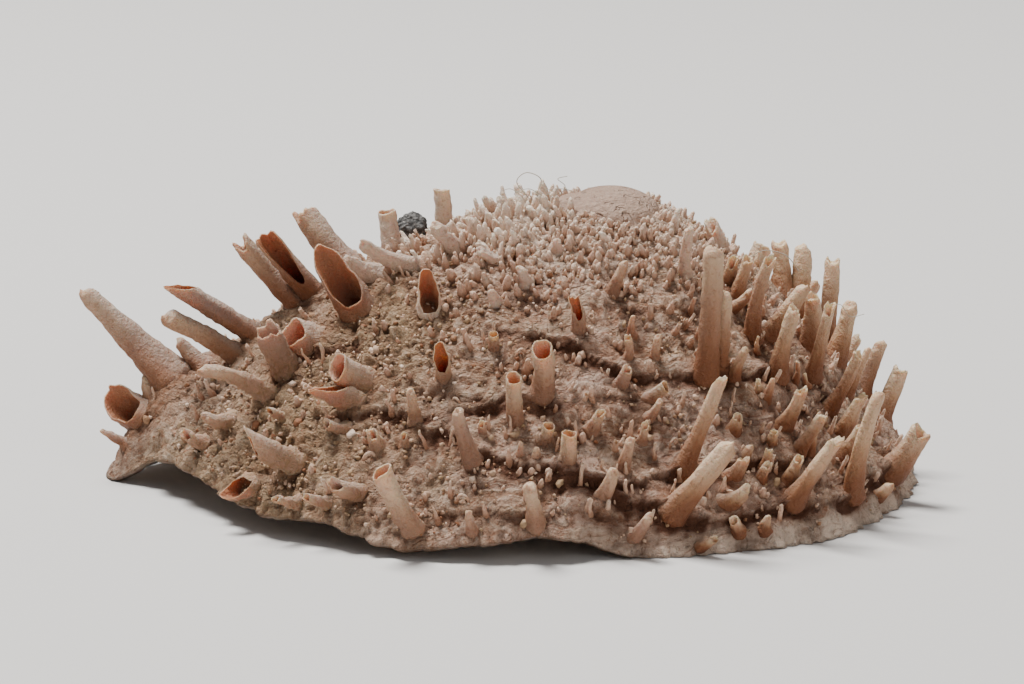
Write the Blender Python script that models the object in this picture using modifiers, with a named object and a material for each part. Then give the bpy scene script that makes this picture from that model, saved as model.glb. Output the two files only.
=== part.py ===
"""Spiny cup-and-saucer shell: a low, off-centre cone covered in hollow spines, with the small
inner cup of its kind hanging under the apex, and a grain of grit wedged behind one ridge.

Metres, +Z up. The origin is on the ground under the middle of the whole shell; -Y is the front.
A place on the saucer is given by its azimuth (degrees, from +X towards +Y) and its reach, the
share of the way from the apex (0) to the rim (1).
"""

import math
import random

import bmesh
import bpy
from mathutils import Vector, noise

MM = 0.001

# Saucer
APEX = (4.4, 0.8)            # mm, where the apex stands, seen from above
HEIGHT = 11.8                # mm, from the ground to the apex, without its knob
KNOB_HEIGHT = 0.5            # mm, the smooth knob on top
KNOB_REACH = 0.11
STEEPNESS = 1.6              # exponent of the slope's profile: 1 is a straight cone
LEFT_SHOULDER = 0.5          # added to it on the fuller left side
RIGHT_SHOULDER = 0.1
LEFT_BULGE = 0.9             # mm, how much fuller the far left is just inside the rim
LEFT_DIP = 0.55              # mm, how much lower the ridge is half way down its left side
WALL = 0.8                   # mm
STEPS_ROUND = 60
STEPS_DOWN = 10

# Rim: azimuth in degrees, radius in mm, and how far it is lifted off the ground in mm
RIM = [
    (0, 17.3, 0.1), (14, 17.0, 0.3), (30, 16.6, 0.5), (55, 16.2, 0.0), (85, 15.8, 0.3),
    (110, 15.8, 0.0), (135, 15.6, 0.4), (155, 15.6, 0.5), (168, 15.4, 0.9), (176, 16.4, 0.5),
    (182, 17.0, 0.0), (188, 15.3, 1.2), (196, 14.5, 1.5), (209, 14.2, 1.3), (225, 14.3, 0.9),
    (240, 14.3, 1.0), (252, 14.6, 0.4), (264, 14.6, 0.7), (278, 14.6, 1.0), (290, 14.9, 0.1),
    (303, 15.7, 0.0), (318, 16.8, 0.0), (333, 17.0, 0.0), (345, 17.1, 0.0),
]

# Inner cup: radius and height in mm down its outer side, and how far its lip is moved
CUP_PROFILE = [(0.0, 11.7), (1.6, 11.0), (3.1, 9.2), (4.9, 6.9), (6.5, 5.3), (7.6, 4.5)]
CUP_LEAN = (1.8, 0.6)        # mm, towards the right, where it grows on to the wall, and the back
CUP_WALL = 0.6               # mm
CUP_STEPS = 26

# Spines: azimuth, reach, length and width in mm, rise above level and turn from straight
# outwards in degrees
LEFT_QUILLS = [
    (180, 0.86, 5.35, 1.50, 44, -10), (184, 0.71, 4.7, 1.0, 35, 20), (186, 0.77, 3.9, 0.9, 32, 20),
    (180, 0.80, 1.6, 0.8, 45, -10), (182, 0.62, 3.6, 0.9, 50, 5), (183, 0.59, 3.5, 1.1, 50, 25),
    (180, 0.51, 3.3, 1.2, 50, -10), (206, 0.61, 3.2, 1.5, 60, -11), (180, 0.92, 2.1, 1.6, 30, -5),
    (180, 0.90, 1.2, 0.9, 70, -15), (207, 0.83, 3.3, 0.9, 25, 0), (203, 0.71, 1.2, 1.4, 35, 5),
    (204, 0.77, 2.3, 1.1, 60, 20), (228, 0.73, 1.7, 1.2, 35, -10), (230, 0.77, 2.1, 1.0, 30, -25),
    (226, 0.90, 2.9, 1.1, 30, -20), (204, 0.90, 1.4, 0.7, 15, 10), (201, 0.95, 1.1, 0.7, 30, 10),
    (242, 0.93, 1.3, 0.9, 25, -25),
]
RIDGE_TUBES = [
    (182, 0.33, 2.0, 0.7, 85, 65), (180, 0.43, 1.9, 0.8, 80, -40), (208, 0.38, 1.7, 0.8, 45, 5),
    (203, 0.46, 2.9, 0.9, 25, 5), (196, 0.52, 2.1, 1.0, 25, 15), (228, 0.54, 1.8, 1.0, 60, 35),
    (316, 0.38, 2.5, 0.6, 60, -40), (354, 0.34, 1.2, 0.8, 70, -135),
]
FRONT_TUBES = [
    (254, 0.96, 3.0, 0.9, 60, -40), (274, 0.97, 2.1, 0.8, 60, -20), (260, 0.83, 2.6, 0.8, 60, -15),
    (270, 0.69, 2.5, 1.0, 60, 0), (266, 0.75, 2.4, 0.7, 60, 0), (246, 0.68, 1.8, 0.7, 60, 15),
    (245, 0.77, 1.6, 0.6, 60, 15), (278, 0.85, 1.8, 0.7, 60, -5), (282, 0.77, 1.1, 0.6, 55, 25),
    (288, 0.84, 1.7, 0.6, 60, 5), (284, 0.91, 1.8, 0.7, 55, 20), (290, 0.96, 1.3, 0.6, 50, 20),
    (276, 0.54, 2.0, 0.7, 60, -20), (286, 0.42, 1.7, 0.6, 55, 15),
]
RIGHT_THICKET = [
    (308, 0.65, 5.8, 1.2, 75, -30), (330, 0.48, 2.1, 0.8, 65, -25), (326, 0.58, 3.8, 0.8, 70, -25),
    (4, 0.56, 2.4, 1.0, 80, 110), (4, 0.60, 2.8, 1.1, 80, 45), (4, 0.69, 3.5, 1.0, 80, 40),
    (356, 0.72, 2.7, 1.1, 75, -15), (334, 0.59, 2.7, 1.1, 55, -5), (326, 0.68, 3.3, 1.0, 70, -20),
    (346, 0.66, 2.6, 1.0, 75, -65), (338, 0.71, 3.5, 0.8, 70, -35), (336, 0.78, 3.0, 0.7, 60, -15),
    (348, 0.78, 2.4, 0.6, 65, -20), (4, 0.82, 2.3, 0.9, 65, 15), (3, 0.88, 2.2, 0.9, 65, 15),
    (344, 0.94, 2.4, 1.2, 55, -10), (329, 0.94, 4.9, 1.0, 70, -25), (299, 0.84, 4.5, 0.9, 65, 20),
    (296, 0.92, 4.1, 1.1, 50, 35), (316, 0.92, 3.5, 1.0, 55, 10), (321, 0.83, 2.3, 0.7, 50, -10),
    (336, 0.83, 2.0, 0.8, 60, -15), (320, 0.78, 2.3, 0.8, 55, -15), (332, 0.87, 1.8, 0.8, 55, -15),
    (314, 0.66, 1.7, 0.6, 55, -15), (314, 0.56, 2.0, 0.6, 55, -15), (307, 0.86, 1.2, 0.7, 50, 5),
]

# The back carries the same kind of spines, spread by a golden-section rule, shorter on the left
BACK_SPINES = 30
BACK_AZIMUTH = (14, 146)
BACK_REACH = (0.64, 0.96)
GOLDEN = 0.618034

SPINE_TAPER = 0.7            # tip width over base width
SPINE_ROOT = 0.55            # mm of a spine's foot sunk in the wall
SPINE_CURL = 0.06            # how far its middle bows down, over its length

# Grit
GRIT_CENTRE = (-4.1, 6.05, 9.33)  # mm
GRIT_RADIUS = 0.76
GRIT_ROUGHNESS = 0.22

# Moves the middle of the spine tips' box over the origin
CENTRE_SHIFT = (0.4, -0.25)   # mm


def clear_scene():
    """Remove whatever objects the scene starts with."""
    for old in list(bpy.data.objects):
        bpy.data.objects.remove(old, do_unlink=True)


def new_collection(name):
    """A collection linked to the scene."""
    made = bpy.data.collections.new(name)
    bpy.context.scene.collection.children.link(made)
    return made


def material(name, colour, roughness):
    """A plain Principled material."""
    made = bpy.data.materials.new(name)
    made.use_nodes = True
    shader = made.node_tree.nodes["Principled BSDF"]
    shader.inputs["Base Color"].default_value = (*colour, 1.0)
    shader.inputs["Roughness"].default_value = roughness
    shader.inputs["Metallic"].default_value = 0.0
    return made


def around_rim(azimuth, column):
    """Read a column of RIM at an azimuth, on a smooth closed curve through its stations."""
    azimuth %= 360
    count = len(RIM)
    after = next((i for i, row in enumerate(RIM) if row[0] > azimuth), count)

    def station(index):
        turn, place = divmod(index, count)
        return RIM[place][0] + 360 * turn, RIM[place][column]

    (a0, v0), (a1, v1), (a2, v2), (a3, v3) = (station(after + k) for k in (-2, -1, 0, 1))
    step = a2 - a1
    slope = (v2 - v1) / step
    slope_1 = (slope + (v1 - v0) / (a1 - a0)) / 2
    slope_2 = (slope + (v3 - v2) / (a3 - a2)) / 2
    t = (azimuth - a1) / step
    start = (2 * t**3 - 3 * t**2 + 1) * v1 + (t**3 - 2 * t**2 + t) * step * slope_1
    end = (3 * t**2 - 2 * t**3) * v2 + (t**3 - t**2) * step * slope_2
    return start + end


def ease(value):
    """Rise smoothly from 0 to 1 as the value does, and keep those outside."""
    value = min(max(value, 0), 1)
    return value * value * (3 - 2 * value)


def saucer_point(azimuth, reach):
    """A point of the saucer's outside, in metres.

    Seen from above it lies on the straight line from the apex to the rim. Its height falls by a
    power of the reach, which is higher on the full left side. A bulge just inside the rim is
    added on the far left, a dip is taken out of the left ridge, and the knob adds a small cap.
    """
    angle = math.radians(azimuth)
    radius = around_rim(azimuth, 1)
    lift = max(around_rim(azimuth, 2), 0)
    x = APEX[0] + reach * (radius * math.cos(angle) - APEX[0])
    y = APEX[1] + reach * (radius * math.sin(angle) - APEX[1])
    left = ((1 - math.cos(angle)) / 2) ** 3
    right = ((1 + math.cos(angle)) / 2) ** 2
    power = STEEPNESS + LEFT_SHOULDER * left + RIGHT_SHOULDER * right
    cone = HEIGHT * (1 - reach**power) + lift * reach**3
    bulge = LEFT_BULGE * left**8 * ease((reach - 0.77) / 0.09) * ease((1 - reach) / 0.12)
    ridge = ease(1 - abs((azimuth - 165 + 180) % 360 - 180) / 55)
    dip = LEFT_DIP * ridge * math.exp(-(((reach - 0.38) / 0.1) ** 2))
    knob = KNOB_HEIGHT * math.exp(-((reach / KNOB_REACH) ** 4))
    return Vector((x + CENTRE_SHIFT[0], y + CENTRE_SHIFT[1], cone + bulge - dip + knob)) * MM


def turned_surface(name, profile, steps):
    """Screw a profile of (radius, height) about Z, outer side top to bottom, as an open mesh."""
    mesh = bpy.data.meshes.new(name)
    points = [(radius, 0, height) for radius, height in profile]
    edges = [(i, i + 1) for i in range(len(points) - 1)]
    mesh.from_pydata(points, edges, [])
    turned = bpy.data.objects.new(name, mesh)
    bpy.context.scene.collection.objects.link(turned)
    screw = turned.modifiers.new("Turn", "SCREW")
    screw.steps = steps
    screw.render_steps = steps
    screw.use_merge_vertices = True
    screw.merge_threshold = 0.00001
    bpy.context.view_layer.update()
    graph = bpy.context.evaluated_depsgraph_get()
    result = bpy.data.meshes.new_from_object(turned.evaluated_get(graph))
    bpy.data.objects.remove(turned, do_unlink=True)
    bpy.data.meshes.remove(mesh)
    return result


def add_solidify(piece, thickness):
    """Give an open surface its wall, on the inside."""
    solidify = piece.modifiers.new("Wall", "SOLIDIFY")
    solidify.thickness = thickness
    solidify.offset = -1
    solidify.use_even_offset = False


def make_saucer(collection):
    """The saucer: a turned dome with its points moved on to the shell's own outline."""
    profile = [(i / STEPS_DOWN, 1 - i / STEPS_DOWN) for i in range(STEPS_DOWN + 1)]
    mesh = turned_surface("saucer_dome", profile, STEPS_ROUND)
    for vertex in mesh.vertices:
        reach = min(math.hypot(vertex.co.x, vertex.co.y), 1)
        azimuth = math.degrees(math.atan2(vertex.co.y, vertex.co.x))
        vertex.co = saucer_point(azimuth, reach)
    shell = bpy.data.objects.new("shell", mesh)
    collection.objects.link(shell)
    add_solidify(shell, WALL * MM)
    return shell


def make_cup(collection):
    """The inner cup: a flared cone that hangs from the inside of the apex, open downwards."""
    mesh = turned_surface("cup", [(r * MM, z * MM) for r, z in CUP_PROFILE], CUP_STEPS)
    top = CUP_PROFILE[0][1]
    fall = top - CUP_PROFILE[-1][1]
    for vertex in mesh.vertices:
        lean = (top - vertex.co.z / MM) / fall
        vertex.co.x += (APEX[0] + CENTRE_SHIFT[0] + CUP_LEAN[0] * lean) * MM
        vertex.co.y += (APEX[1] + CENTRE_SHIFT[1] + CUP_LEAN[1] * lean) * MM
    cup = bpy.data.objects.new("cup_joiner", mesh)
    collection.objects.link(cup)
    add_solidify(cup, CUP_WALL * MM)
    return cup


def spine_direction(azimuth, rise, turn):
    """A unit vector that points outwards at the azimuth plus the turn, and up by the rise."""
    heading = math.radians(azimuth + turn)
    level = math.cos(math.radians(rise))
    return Vector((level * math.cos(heading), level * math.sin(heading), math.sin(math.radians(rise))))


def make_spine(name, collection, azimuth, reach, length, width, rise, turn):
    """One spine: a tapering tube along three points, with its foot sunk in the wall."""
    foot = saucer_point(azimuth, reach)
    direction = spine_direction(azimuth, rise, turn)
    base = foot - direction * SPINE_ROOT * MM
    middle = foot + direction * length * 0.5 * MM - Vector((0, 0, SPINE_CURL * length * MM))
    tip = foot + direction * length * MM
    curve = bpy.data.curves.new(name, "CURVE")
    curve.dimensions = "3D"
    curve.bevel_depth = width / 2 * MM
    curve.bevel_resolution = 1
    curve.use_fill_caps = True
    spline = curve.splines.new("POLY")
    spline.points.add(2)
    sizes = (1.15, (1 + SPINE_TAPER) / 2, SPINE_TAPER)
    for point, place, size in zip(spline.points, (base, middle, tip), sizes):
        point.co = (*place, 1)
        point.radius = size
    rod = bpy.data.objects.new(name + "_curve", curve)
    collection.objects.link(rod)
    bpy.context.view_layer.update()
    graph = bpy.context.evaluated_depsgraph_get()
    mesh = bpy.data.meshes.new_from_object(rod.evaluated_get(graph))
    welded = bmesh.new()
    welded.from_mesh(mesh)
    bmesh.ops.remove_doubles(welded, verts=welded.verts, dist=0.000001)
    welded.to_mesh(mesh)
    welded.free()
    spine = bpy.data.objects.new(name, mesh)
    spine.matrix_world = rod.matrix_world
    collection.objects.link(spine)
    bpy.data.objects.remove(rod, do_unlink=True)
    return spine


def back_spines():
    """Rows for the back, in the same form as the other lists, from fractions of golden steps."""
    rows = []
    for i in range(BACK_SPINES):
        across = (i + 0.5) / BACK_SPINES
        down = (i * GOLDEN) % 1
        size = (i * GOLDEN * GOLDEN * 3) % 1
        azimuth = BACK_AZIMUTH[0] + across * (BACK_AZIMUTH[1] - BACK_AZIMUTH[0])
        reach = BACK_REACH[0] + down * (BACK_REACH[1] - BACK_REACH[0])
        length = (1.5 + 1.5 * size) * (1.2 - 0.6 * across)
        rows.append((azimuth, reach, length, 0.7 + 0.4 * size, 50 + 15 * size, 20 * (size - 0.5)))
    return rows


def make_spines(collection):
    """Every spine that is part of the solid."""
    groups = {"left": LEFT_QUILLS, "ridge": RIDGE_TUBES, "front": FRONT_TUBES,
              "right": RIGHT_THICKET, "back": back_spines()}
    for group, rows in groups.items():
        for i, row in enumerate(rows):
            make_spine(f"spine_{group}_{i + 1}", collection, *row)


def make_ground_cut(collection):
    """A slab with its top at the ground, which leaves the rim flat where the shell rests."""
    bpy.ops.mesh.primitive_cube_add(size=1, location=(0, 0, -0.005))
    slab = bpy.context.active_object
    slab.name = "ground_cut"
    for vertex in slab.data.vertices:
        vertex.co = (vertex.co.x * 0.06, vertex.co.y * 0.06, vertex.co.z * 0.01)
    for owner in list(slab.users_collection):
        owner.objects.unlink(slab)
    collection.objects.link(slab)
    return slab


def make_grit(collection):
    """The grain: an icosphere whose points are pushed in and out by smooth noise."""
    bpy.ops.mesh.primitive_ico_sphere_add(subdivisions=3, radius=GRIT_RADIUS * MM)
    grit = bpy.context.active_object
    grit.name = "grit_grain"
    grit.data.name = "grit_grain"
    for owner in list(grit.users_collection):
        owner.objects.unlink(grit)
    collection.objects.link(grit)
    centre = Vector(GRIT_CENTRE) + Vector((*CENTRE_SHIFT, 0))
    grit.location = centre * MM
    seed = random.Random(3)
    offset = Vector((seed.uniform(0, 9), seed.uniform(0, 9), seed.uniform(0, 9)))
    for vertex in grit.data.vertices:
        swell = 1 + GRIT_ROUGHNESS * noise.noise(vertex.co / (GRIT_RADIUS * MM) * 1.6 + offset)
        vertex.co = vertex.co * swell
    return grit


def hide_joiners(collection):
    """Show the joined and cut pieces as wires only."""
    for piece in collection.objects:
        piece.hide_render = True
        piece.display_type = "WIRE"


def add_boolean(piece, name, operation, other):
    """Join or cut a piece by a collection or by one object."""
    boolean = piece.modifiers.new(name, "BOOLEAN")
    boolean.operation = operation
    boolean.solver = "EXACT"
    if isinstance(other, bpy.types.Collection):
        boolean.operand_type = "COLLECTION"
        boolean.collection = other
    else:
        boolean.object = other


def main():
    """Build the shell and the grain."""
    clear_scene()
    parts = new_collection("spiny_cup_and_saucer_shell")
    joiners = new_collection("joiners")
    cutters = new_collection("cutters")
    shell = make_saucer(parts)
    make_cup(joiners)
    make_spines(joiners)
    slab = make_ground_cut(cutters)
    add_boolean(shell, "Join cup and spines", "UNION", joiners)
    add_boolean(shell, "Rest flat", "DIFFERENCE", slab)
    hide_joiners(joiners)
    hide_joiners(cutters)
    shell.data.shade_smooth()
    shell.data.materials.append(material("shell_carbonate", (0.42, 0.28, 0.21), 0.7))
    grit = make_grit(parts)
    grit.data.shade_smooth()
    grit.data.materials.append(material("grit_stone", (0.09, 0.08, 0.075), 0.85))


main()
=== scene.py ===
"""Looks for a spiny cup-and-saucer shell: the rough saucer with its growth ledges, hollow spines,
nodules, sand crust, inner cup, a wedged grain of grit and some lint, on a plain pale floor.

Shapes are worked out in millimetres and put into the meshes in metres. A place on the saucer is
its azimuth (degrees from +X towards +Y) and its reach, from the apex (0) to the rim (1).
"""

import math

import bpy
import numpy as np
from bpy.props import FloatProperty, FloatVectorProperty, IntProperty, PointerProperty
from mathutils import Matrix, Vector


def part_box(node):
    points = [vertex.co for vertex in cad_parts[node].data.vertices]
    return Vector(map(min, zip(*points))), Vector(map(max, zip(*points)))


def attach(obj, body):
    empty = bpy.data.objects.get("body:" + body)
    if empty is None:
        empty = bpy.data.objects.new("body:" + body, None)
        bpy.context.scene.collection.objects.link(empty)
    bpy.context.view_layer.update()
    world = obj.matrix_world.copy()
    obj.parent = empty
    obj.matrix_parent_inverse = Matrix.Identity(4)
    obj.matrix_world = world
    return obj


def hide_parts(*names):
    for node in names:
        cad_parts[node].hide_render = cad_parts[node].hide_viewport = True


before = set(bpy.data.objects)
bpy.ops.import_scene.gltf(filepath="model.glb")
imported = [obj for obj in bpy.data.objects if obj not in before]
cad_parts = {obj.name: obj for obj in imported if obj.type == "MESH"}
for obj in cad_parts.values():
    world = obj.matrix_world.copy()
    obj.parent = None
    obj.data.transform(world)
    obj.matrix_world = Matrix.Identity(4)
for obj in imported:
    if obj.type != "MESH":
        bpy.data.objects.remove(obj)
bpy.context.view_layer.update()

bl_info = {
    "name": "Spiny cup-and-saucer shell",
    "version": (1, 0, 0),
    "blender": (4, 5, 0),
    "location": "3D View > Sidebar > Shell",
    "description": "Builds a spiny cup-and-saucer shell from numpy surfaces",
    "category": "Add Mesh",
}

MM = 0.001
NODE = "shell"
BODY = "root"

# The saucer's plan and profile, as in the frame: the apex and the shift of the rim's centre in mm;
# the power that its height falls by, and how much more it is on the left and on the right; and a
# bulge near the left rim and a dip in the left ridge, both in mm
APEX = (4.4, 0.8)
CENTRE_SHIFT = (0.4, -0.25)
STEEPNESS = 1.6
LEFT_SHOULDER = 0.5
RIGHT_SHOULDER = 0.1
LEFT_BULGE = 0.9
LEFT_DIP = 0.55

# Rim: azimuth in degrees, radius in mm, lift off the ground in mm
RIM = np.array([
    (0, 17.3, 0.1), (14, 17.0, 0.3), (30, 16.6, 0.5), (55, 16.2, 0.0), (85, 15.8, 0.3),
    (110, 15.8, 0.0), (135, 15.6, 0.4), (155, 15.6, 0.5), (168, 15.4, 0.9), (176, 16.4, 0.5),
    (182, 17.0, 0.0), (188, 15.3, 1.2), (196, 14.5, 1.5), (209, 14.2, 1.3), (225, 14.3, 0.9),
    (240, 14.3, 1.0), (252, 14.6, 0.4), (264, 14.6, 0.7), (278, 14.6, 1.0), (290, 14.9, 0.1),
    (303, 15.7, 0.0), (318, 16.8, 0.0), (333, 17.0, 0.0), (345, 17.1, 0.0),
])

# Growth ledges: height in mm, and the line each runs along, as azimuth and reach. Each one's rise,
# drop, groove (middle and width) and painted shade at its foot are widths in reach, and its fade is
# in degrees
LEDGE_RISE = 0.07
LEDGE_DROP = 0.007
LEDGE_GROOVE = (0.012, 0.010)
LEDGE_SHADE = (0.046, 0.040)
LEDGE_FADE = 14
LEDGES = [
    (0.34, [(258, 0.54), (276, 0.57), (288, 0.63), (304, 0.65), (320, 0.665)]),
    (0.16, [(246, 0.70), (262, 0.705), (276, 0.71), (288, 0.69)]),
    (0.34, [(256, 0.79), (269, 0.85), (284, 0.87), (302, 0.84), (318, 0.83)]),
    (0.34, [(282, 0.88), (300, 0.93), (318, 0.93), (345, 0.93), (385, 0.92)]),
    (0.20, [(230, 0.79), (246, 0.76), (260, 0.72)]),
    (0.22, [(200, 0.77), (208, 0.71), (216, 0.65)]),
    (0.14, [(262, 0.93), (276, 0.945), (290, 0.93)]),
    (0.10, [(225, 0.46), (262, 0.44), (300, 0.47), (335, 0.45)]),
    (0.12, [(318, 0.74), (345, 0.76), (400, 0.75), (500, 0.78)]),
    (0.14, [(20, 0.57), (90, 0.60), (160, 0.58)]),
    (0.18, [(45, 0.88), (100, 0.90), (170, 0.88)]),
]

# The sandy patch is on the left front, the thin pale flange on the right front
SAND_SIDE = 218
FLANGE_SIDE = 325

# The knob's main dome and its lower lobe: middle and half widths in x and y, in mm
KNOB_MAIN = (4.95, 0.15, 1.75, 2.2)
KNOB_LOBE = (3.6, -0.05, 1.15, 1.3)

# The inner cup: radius and height at even steps from its top to its lip, and the lip's shift
CUP_PROFILE = [(0.0, 11.7), (1.6, 11.0), (3.1, 9.2), (4.9, 6.9), (6.5, 5.3), (7.6, 4.5)]
CUP_LEAN = (1.8, 0.6)

# Kinds of open tip. Each has, in order: depth of the opening's cut in widths; how narrow the cut
# is, from -1 (all round) to 1 (a slit); raggedness in widths; lobes of the cut; tip width over base
# width; wall over width; depth of the hollow in widths; bow over the length; and waist, which is
# the shaft's width over the row's
HOLLOW_TIPS = {
    "tube": (0.20, -0.80, 0.030, 1, 0.94, 0.13, 3.0, 0.02, 0.96),
    "scoop": (1.30, -0.80, 0.050, 1, 0.90, 0.12, 4.0, 0.04, 0.95),
    "gutter": (2.70, -1.00, 0.060, 1, 0.92, 0.12, 7.0, 0.03, 0.96),
    "slot": (2.60, -0.20, 0.090, 1, 0.92, 0.16, 7.0, 0.03, 0.96),
    "crown": (0.25, 0.00, 0.120, 2, 0.92, 0.20, 1.1, 0.03, 0.95),
    "stump": (0.10, 0.00, 0.045, 2, 0.84, 0.34, 0.4, 0.04, 0.84),
    "splinter": (1.30, -0.60, 0.160, 1, 0.62, 0.15, 3.0, 0.02, 1.00),
    "pit": (0.20, -0.60, 0.070, 1, 0.82, 0.30, 0.4, 0.04, 0.72),
    "notch": (0.40, 0.20, 0.080, 1, 0.80, 0.32, 0.5, 0.03, 0.70),
}
# Kinds of closed tip: tip width over base width, bow and waist
CLOSED_TIPS = {
    "quill": (0.55, 0.03, 0.94), "closed": (0.78, 0.04, 0.76), "cone": (0.38, 0.02, 0.95),
    "tusk": (0.40, 0.03, 0.95), "hook": (0.66, -0.09, 0.90), "blunt": (0.88, 0.03, 0.76),
    "column": (0.90, 0.01, 0.90),
}

# The side that an opening faces; "out" is straight away from the middle
FACINGS = {
    "top": (0.0, 0.0, 1.0), "front": (0.0, -1.0, 0.3), "left": (-1.0, -0.4, 0.2),
    "right": (1.0, -0.4, 0.2), "front_left": (-0.7, -0.7, 0.3), "out": None,
}

# Spines given one by one: azimuth, reach, length and width in mm, rise above level and turn from
# straight outwards in degrees, kind of tip and the side that its opening faces
LEFT_SPINES = [
    (180, 0.86, 5.35, 1.70, 44, -10, "tusk", "out"), (184, 0.71, 4.7, 1.0, 35, 20, "scoop", "top"),
    (186, 0.77, 3.9, 0.9, 32, 20, "column", "out"), (180, 0.80, 1.6, 0.8, 45, -10, "closed", "front"),
    (182, 0.62, 3.6, 0.95, 50, 5, "crown", "front"), (183, 0.59, 3.5, 1.0, 50, 25, "slot", "front"),
    (180, 0.51, 3.3, 1.2, 50, -10, "crown", "left"), (206, 0.61, 3.2, 1.4, 60, -11, "gutter", "front"),
    (180, 0.92, 2.1, 1.6, 30, -5, "gutter", "front_left"), (180, 0.90, 1.2, 0.9, 70, -15, "cone", "out"),
    (182, 0.95, 1.3, 0.5, 30, 10, "cone", "out"), (207, 0.83, 3.3, 0.9, 25, 0, "hook", "out"),
    (203, 0.71, 1.2, 1.4, 35, 5, "tube", "front"), (204, 0.77, 2.3, 1.1, 60, 20, "crown", "left"),
    (228, 0.73, 1.7, 1.2, 35, -10, "tube", "front_left"), (230, 0.77, 2.1, 1.0, 30, -25, "scoop", "top"),
    (226, 0.90, 2.9, 1.1, 30, -20, "scoop", "left"), (204, 0.90, 1.4, 0.7, 15, 10, "closed", "out"),
    (201, 0.95, 1.1, 0.7, 30, 10, "notch", "front"), (220, 0.96, 1.4, 0.9, 0, 0, "scoop", "front_left"),
    (216, 0.84, 1.0, 0.5, 25, 5, "pit", "front"), (242, 0.93, 1.3, 0.9, 25, -25, "pit", "front"),
    (232, 0.82, 1.1, 0.6, 20, -15, "pit", "front"), (232, 0.97, 1.1, 0.5, 20, -15, "pit", "front"),
    (238, 0.96, 1.2, 0.5, 20, -20, "pit", "front"),
]
RIDGE_SPINES = [
    (182, 0.33, 2.0, 0.7, 85, 65, "tube", "top"), (180, 0.43, 1.9, 0.8, 80, -40, "tube", "front"),
    (208, 0.38, 1.7, 0.8, 45, 5, "closed", "out"), (203, 0.46, 2.9, 0.9, 25, 5, "quill", "out"),
    (196, 0.52, 2.1, 1.0, 25, 15, "closed", "out"), (228, 0.54, 1.8, 1.0, 60, 35, "gutter", "front"),
    (252, 0.41, 0.9, 0.6, 55, -10, "closed", "out"), (232, 0.37, 1.1, 0.6, 30, -10, "closed", "out"),
    (247, 0.48, 0.8, 0.5, 55, -10, "closed", "out"), (256, 0.30, 0.7, 0.5, 60, 20, "closed", "out"),
    (316, 0.38, 2.5, 0.6, 60, -40, "blunt", "out"), (354, 0.34, 1.2, 0.8, 70, -135, "notch", "front"),
]
FRONT_SPINES = [
    (254, 0.96, 3.0, 0.9, 60, -40, "tube", "left"), (264, 0.97, 1.1, 0.5, 60, -10, "closed", "out"),
    (274, 0.97, 2.1, 0.8, 60, -20, "blunt", "out"), (260, 0.83, 2.6, 0.8, 60, -15, "hook", "out"),
    (270, 0.69, 2.5, 1.0, 60, 0, "tube", "front"), (266, 0.75, 2.4, 0.7, 60, 0, "tube", "front"),
    (246, 0.68, 1.8, 0.7, 60, 15, "scoop", "front"), (245, 0.77, 1.6, 0.6, 60, 15, "closed", "out"),
    (241, 0.84, 0.9, 0.7, 55, -5, "notch", "front"), (246, 0.82, 0.6, 0.4, 60, 15, "notch", "front"),
    (260, 0.78, 0.7, 0.4, 60, 10, "notch", "front"), (278, 0.85, 1.8, 0.7, 60, -5, "tube", "top"),
    (273, 0.80, 0.9, 0.5, 60, 20, "tube", "front"), (269, 0.83, 0.8, 0.4, 60, 0, "cone", "out"),
    (272, 0.84, 0.7, 0.4, 60, 5, "closed", "out"), (282, 0.77, 1.1, 0.6, 55, 25, "pit", "front"),
    (288, 0.84, 1.7, 0.6, 60, 5, "closed", "out"), (284, 0.91, 1.8, 0.7, 55, 20, "closed", "out"),
    (290, 0.96, 1.3, 0.6, 50, 20, "closed", "out"), (288, 0.66, 1.0, 0.6, 55, 15, "pit", "front"),
    (294, 0.69, 1.2, 0.5, 35, 25, "tube", "right"), (294, 0.73, 1.1, 0.5, 50, 15, "closed", "out"),
    (292, 0.78, 1.0, 0.5, 60, -5, "notch", "front"), (290, 0.60, 1.3, 0.5, 60, -20, "pit", "front"),
    (276, 0.54, 2.0, 0.7, 60, -20, "splinter", "front"), (254, 0.59, 0.9, 0.4, 60, 20, "tube", "front"),
    (292, 0.54, 1.1, 0.4, 60, -20, "cone", "out"), (297, 0.60, 1.3, 0.5, 60, -15, "closed", "out"),
    (286, 0.42, 1.7, 0.6, 55, 15, "closed", "out"),
]
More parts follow.
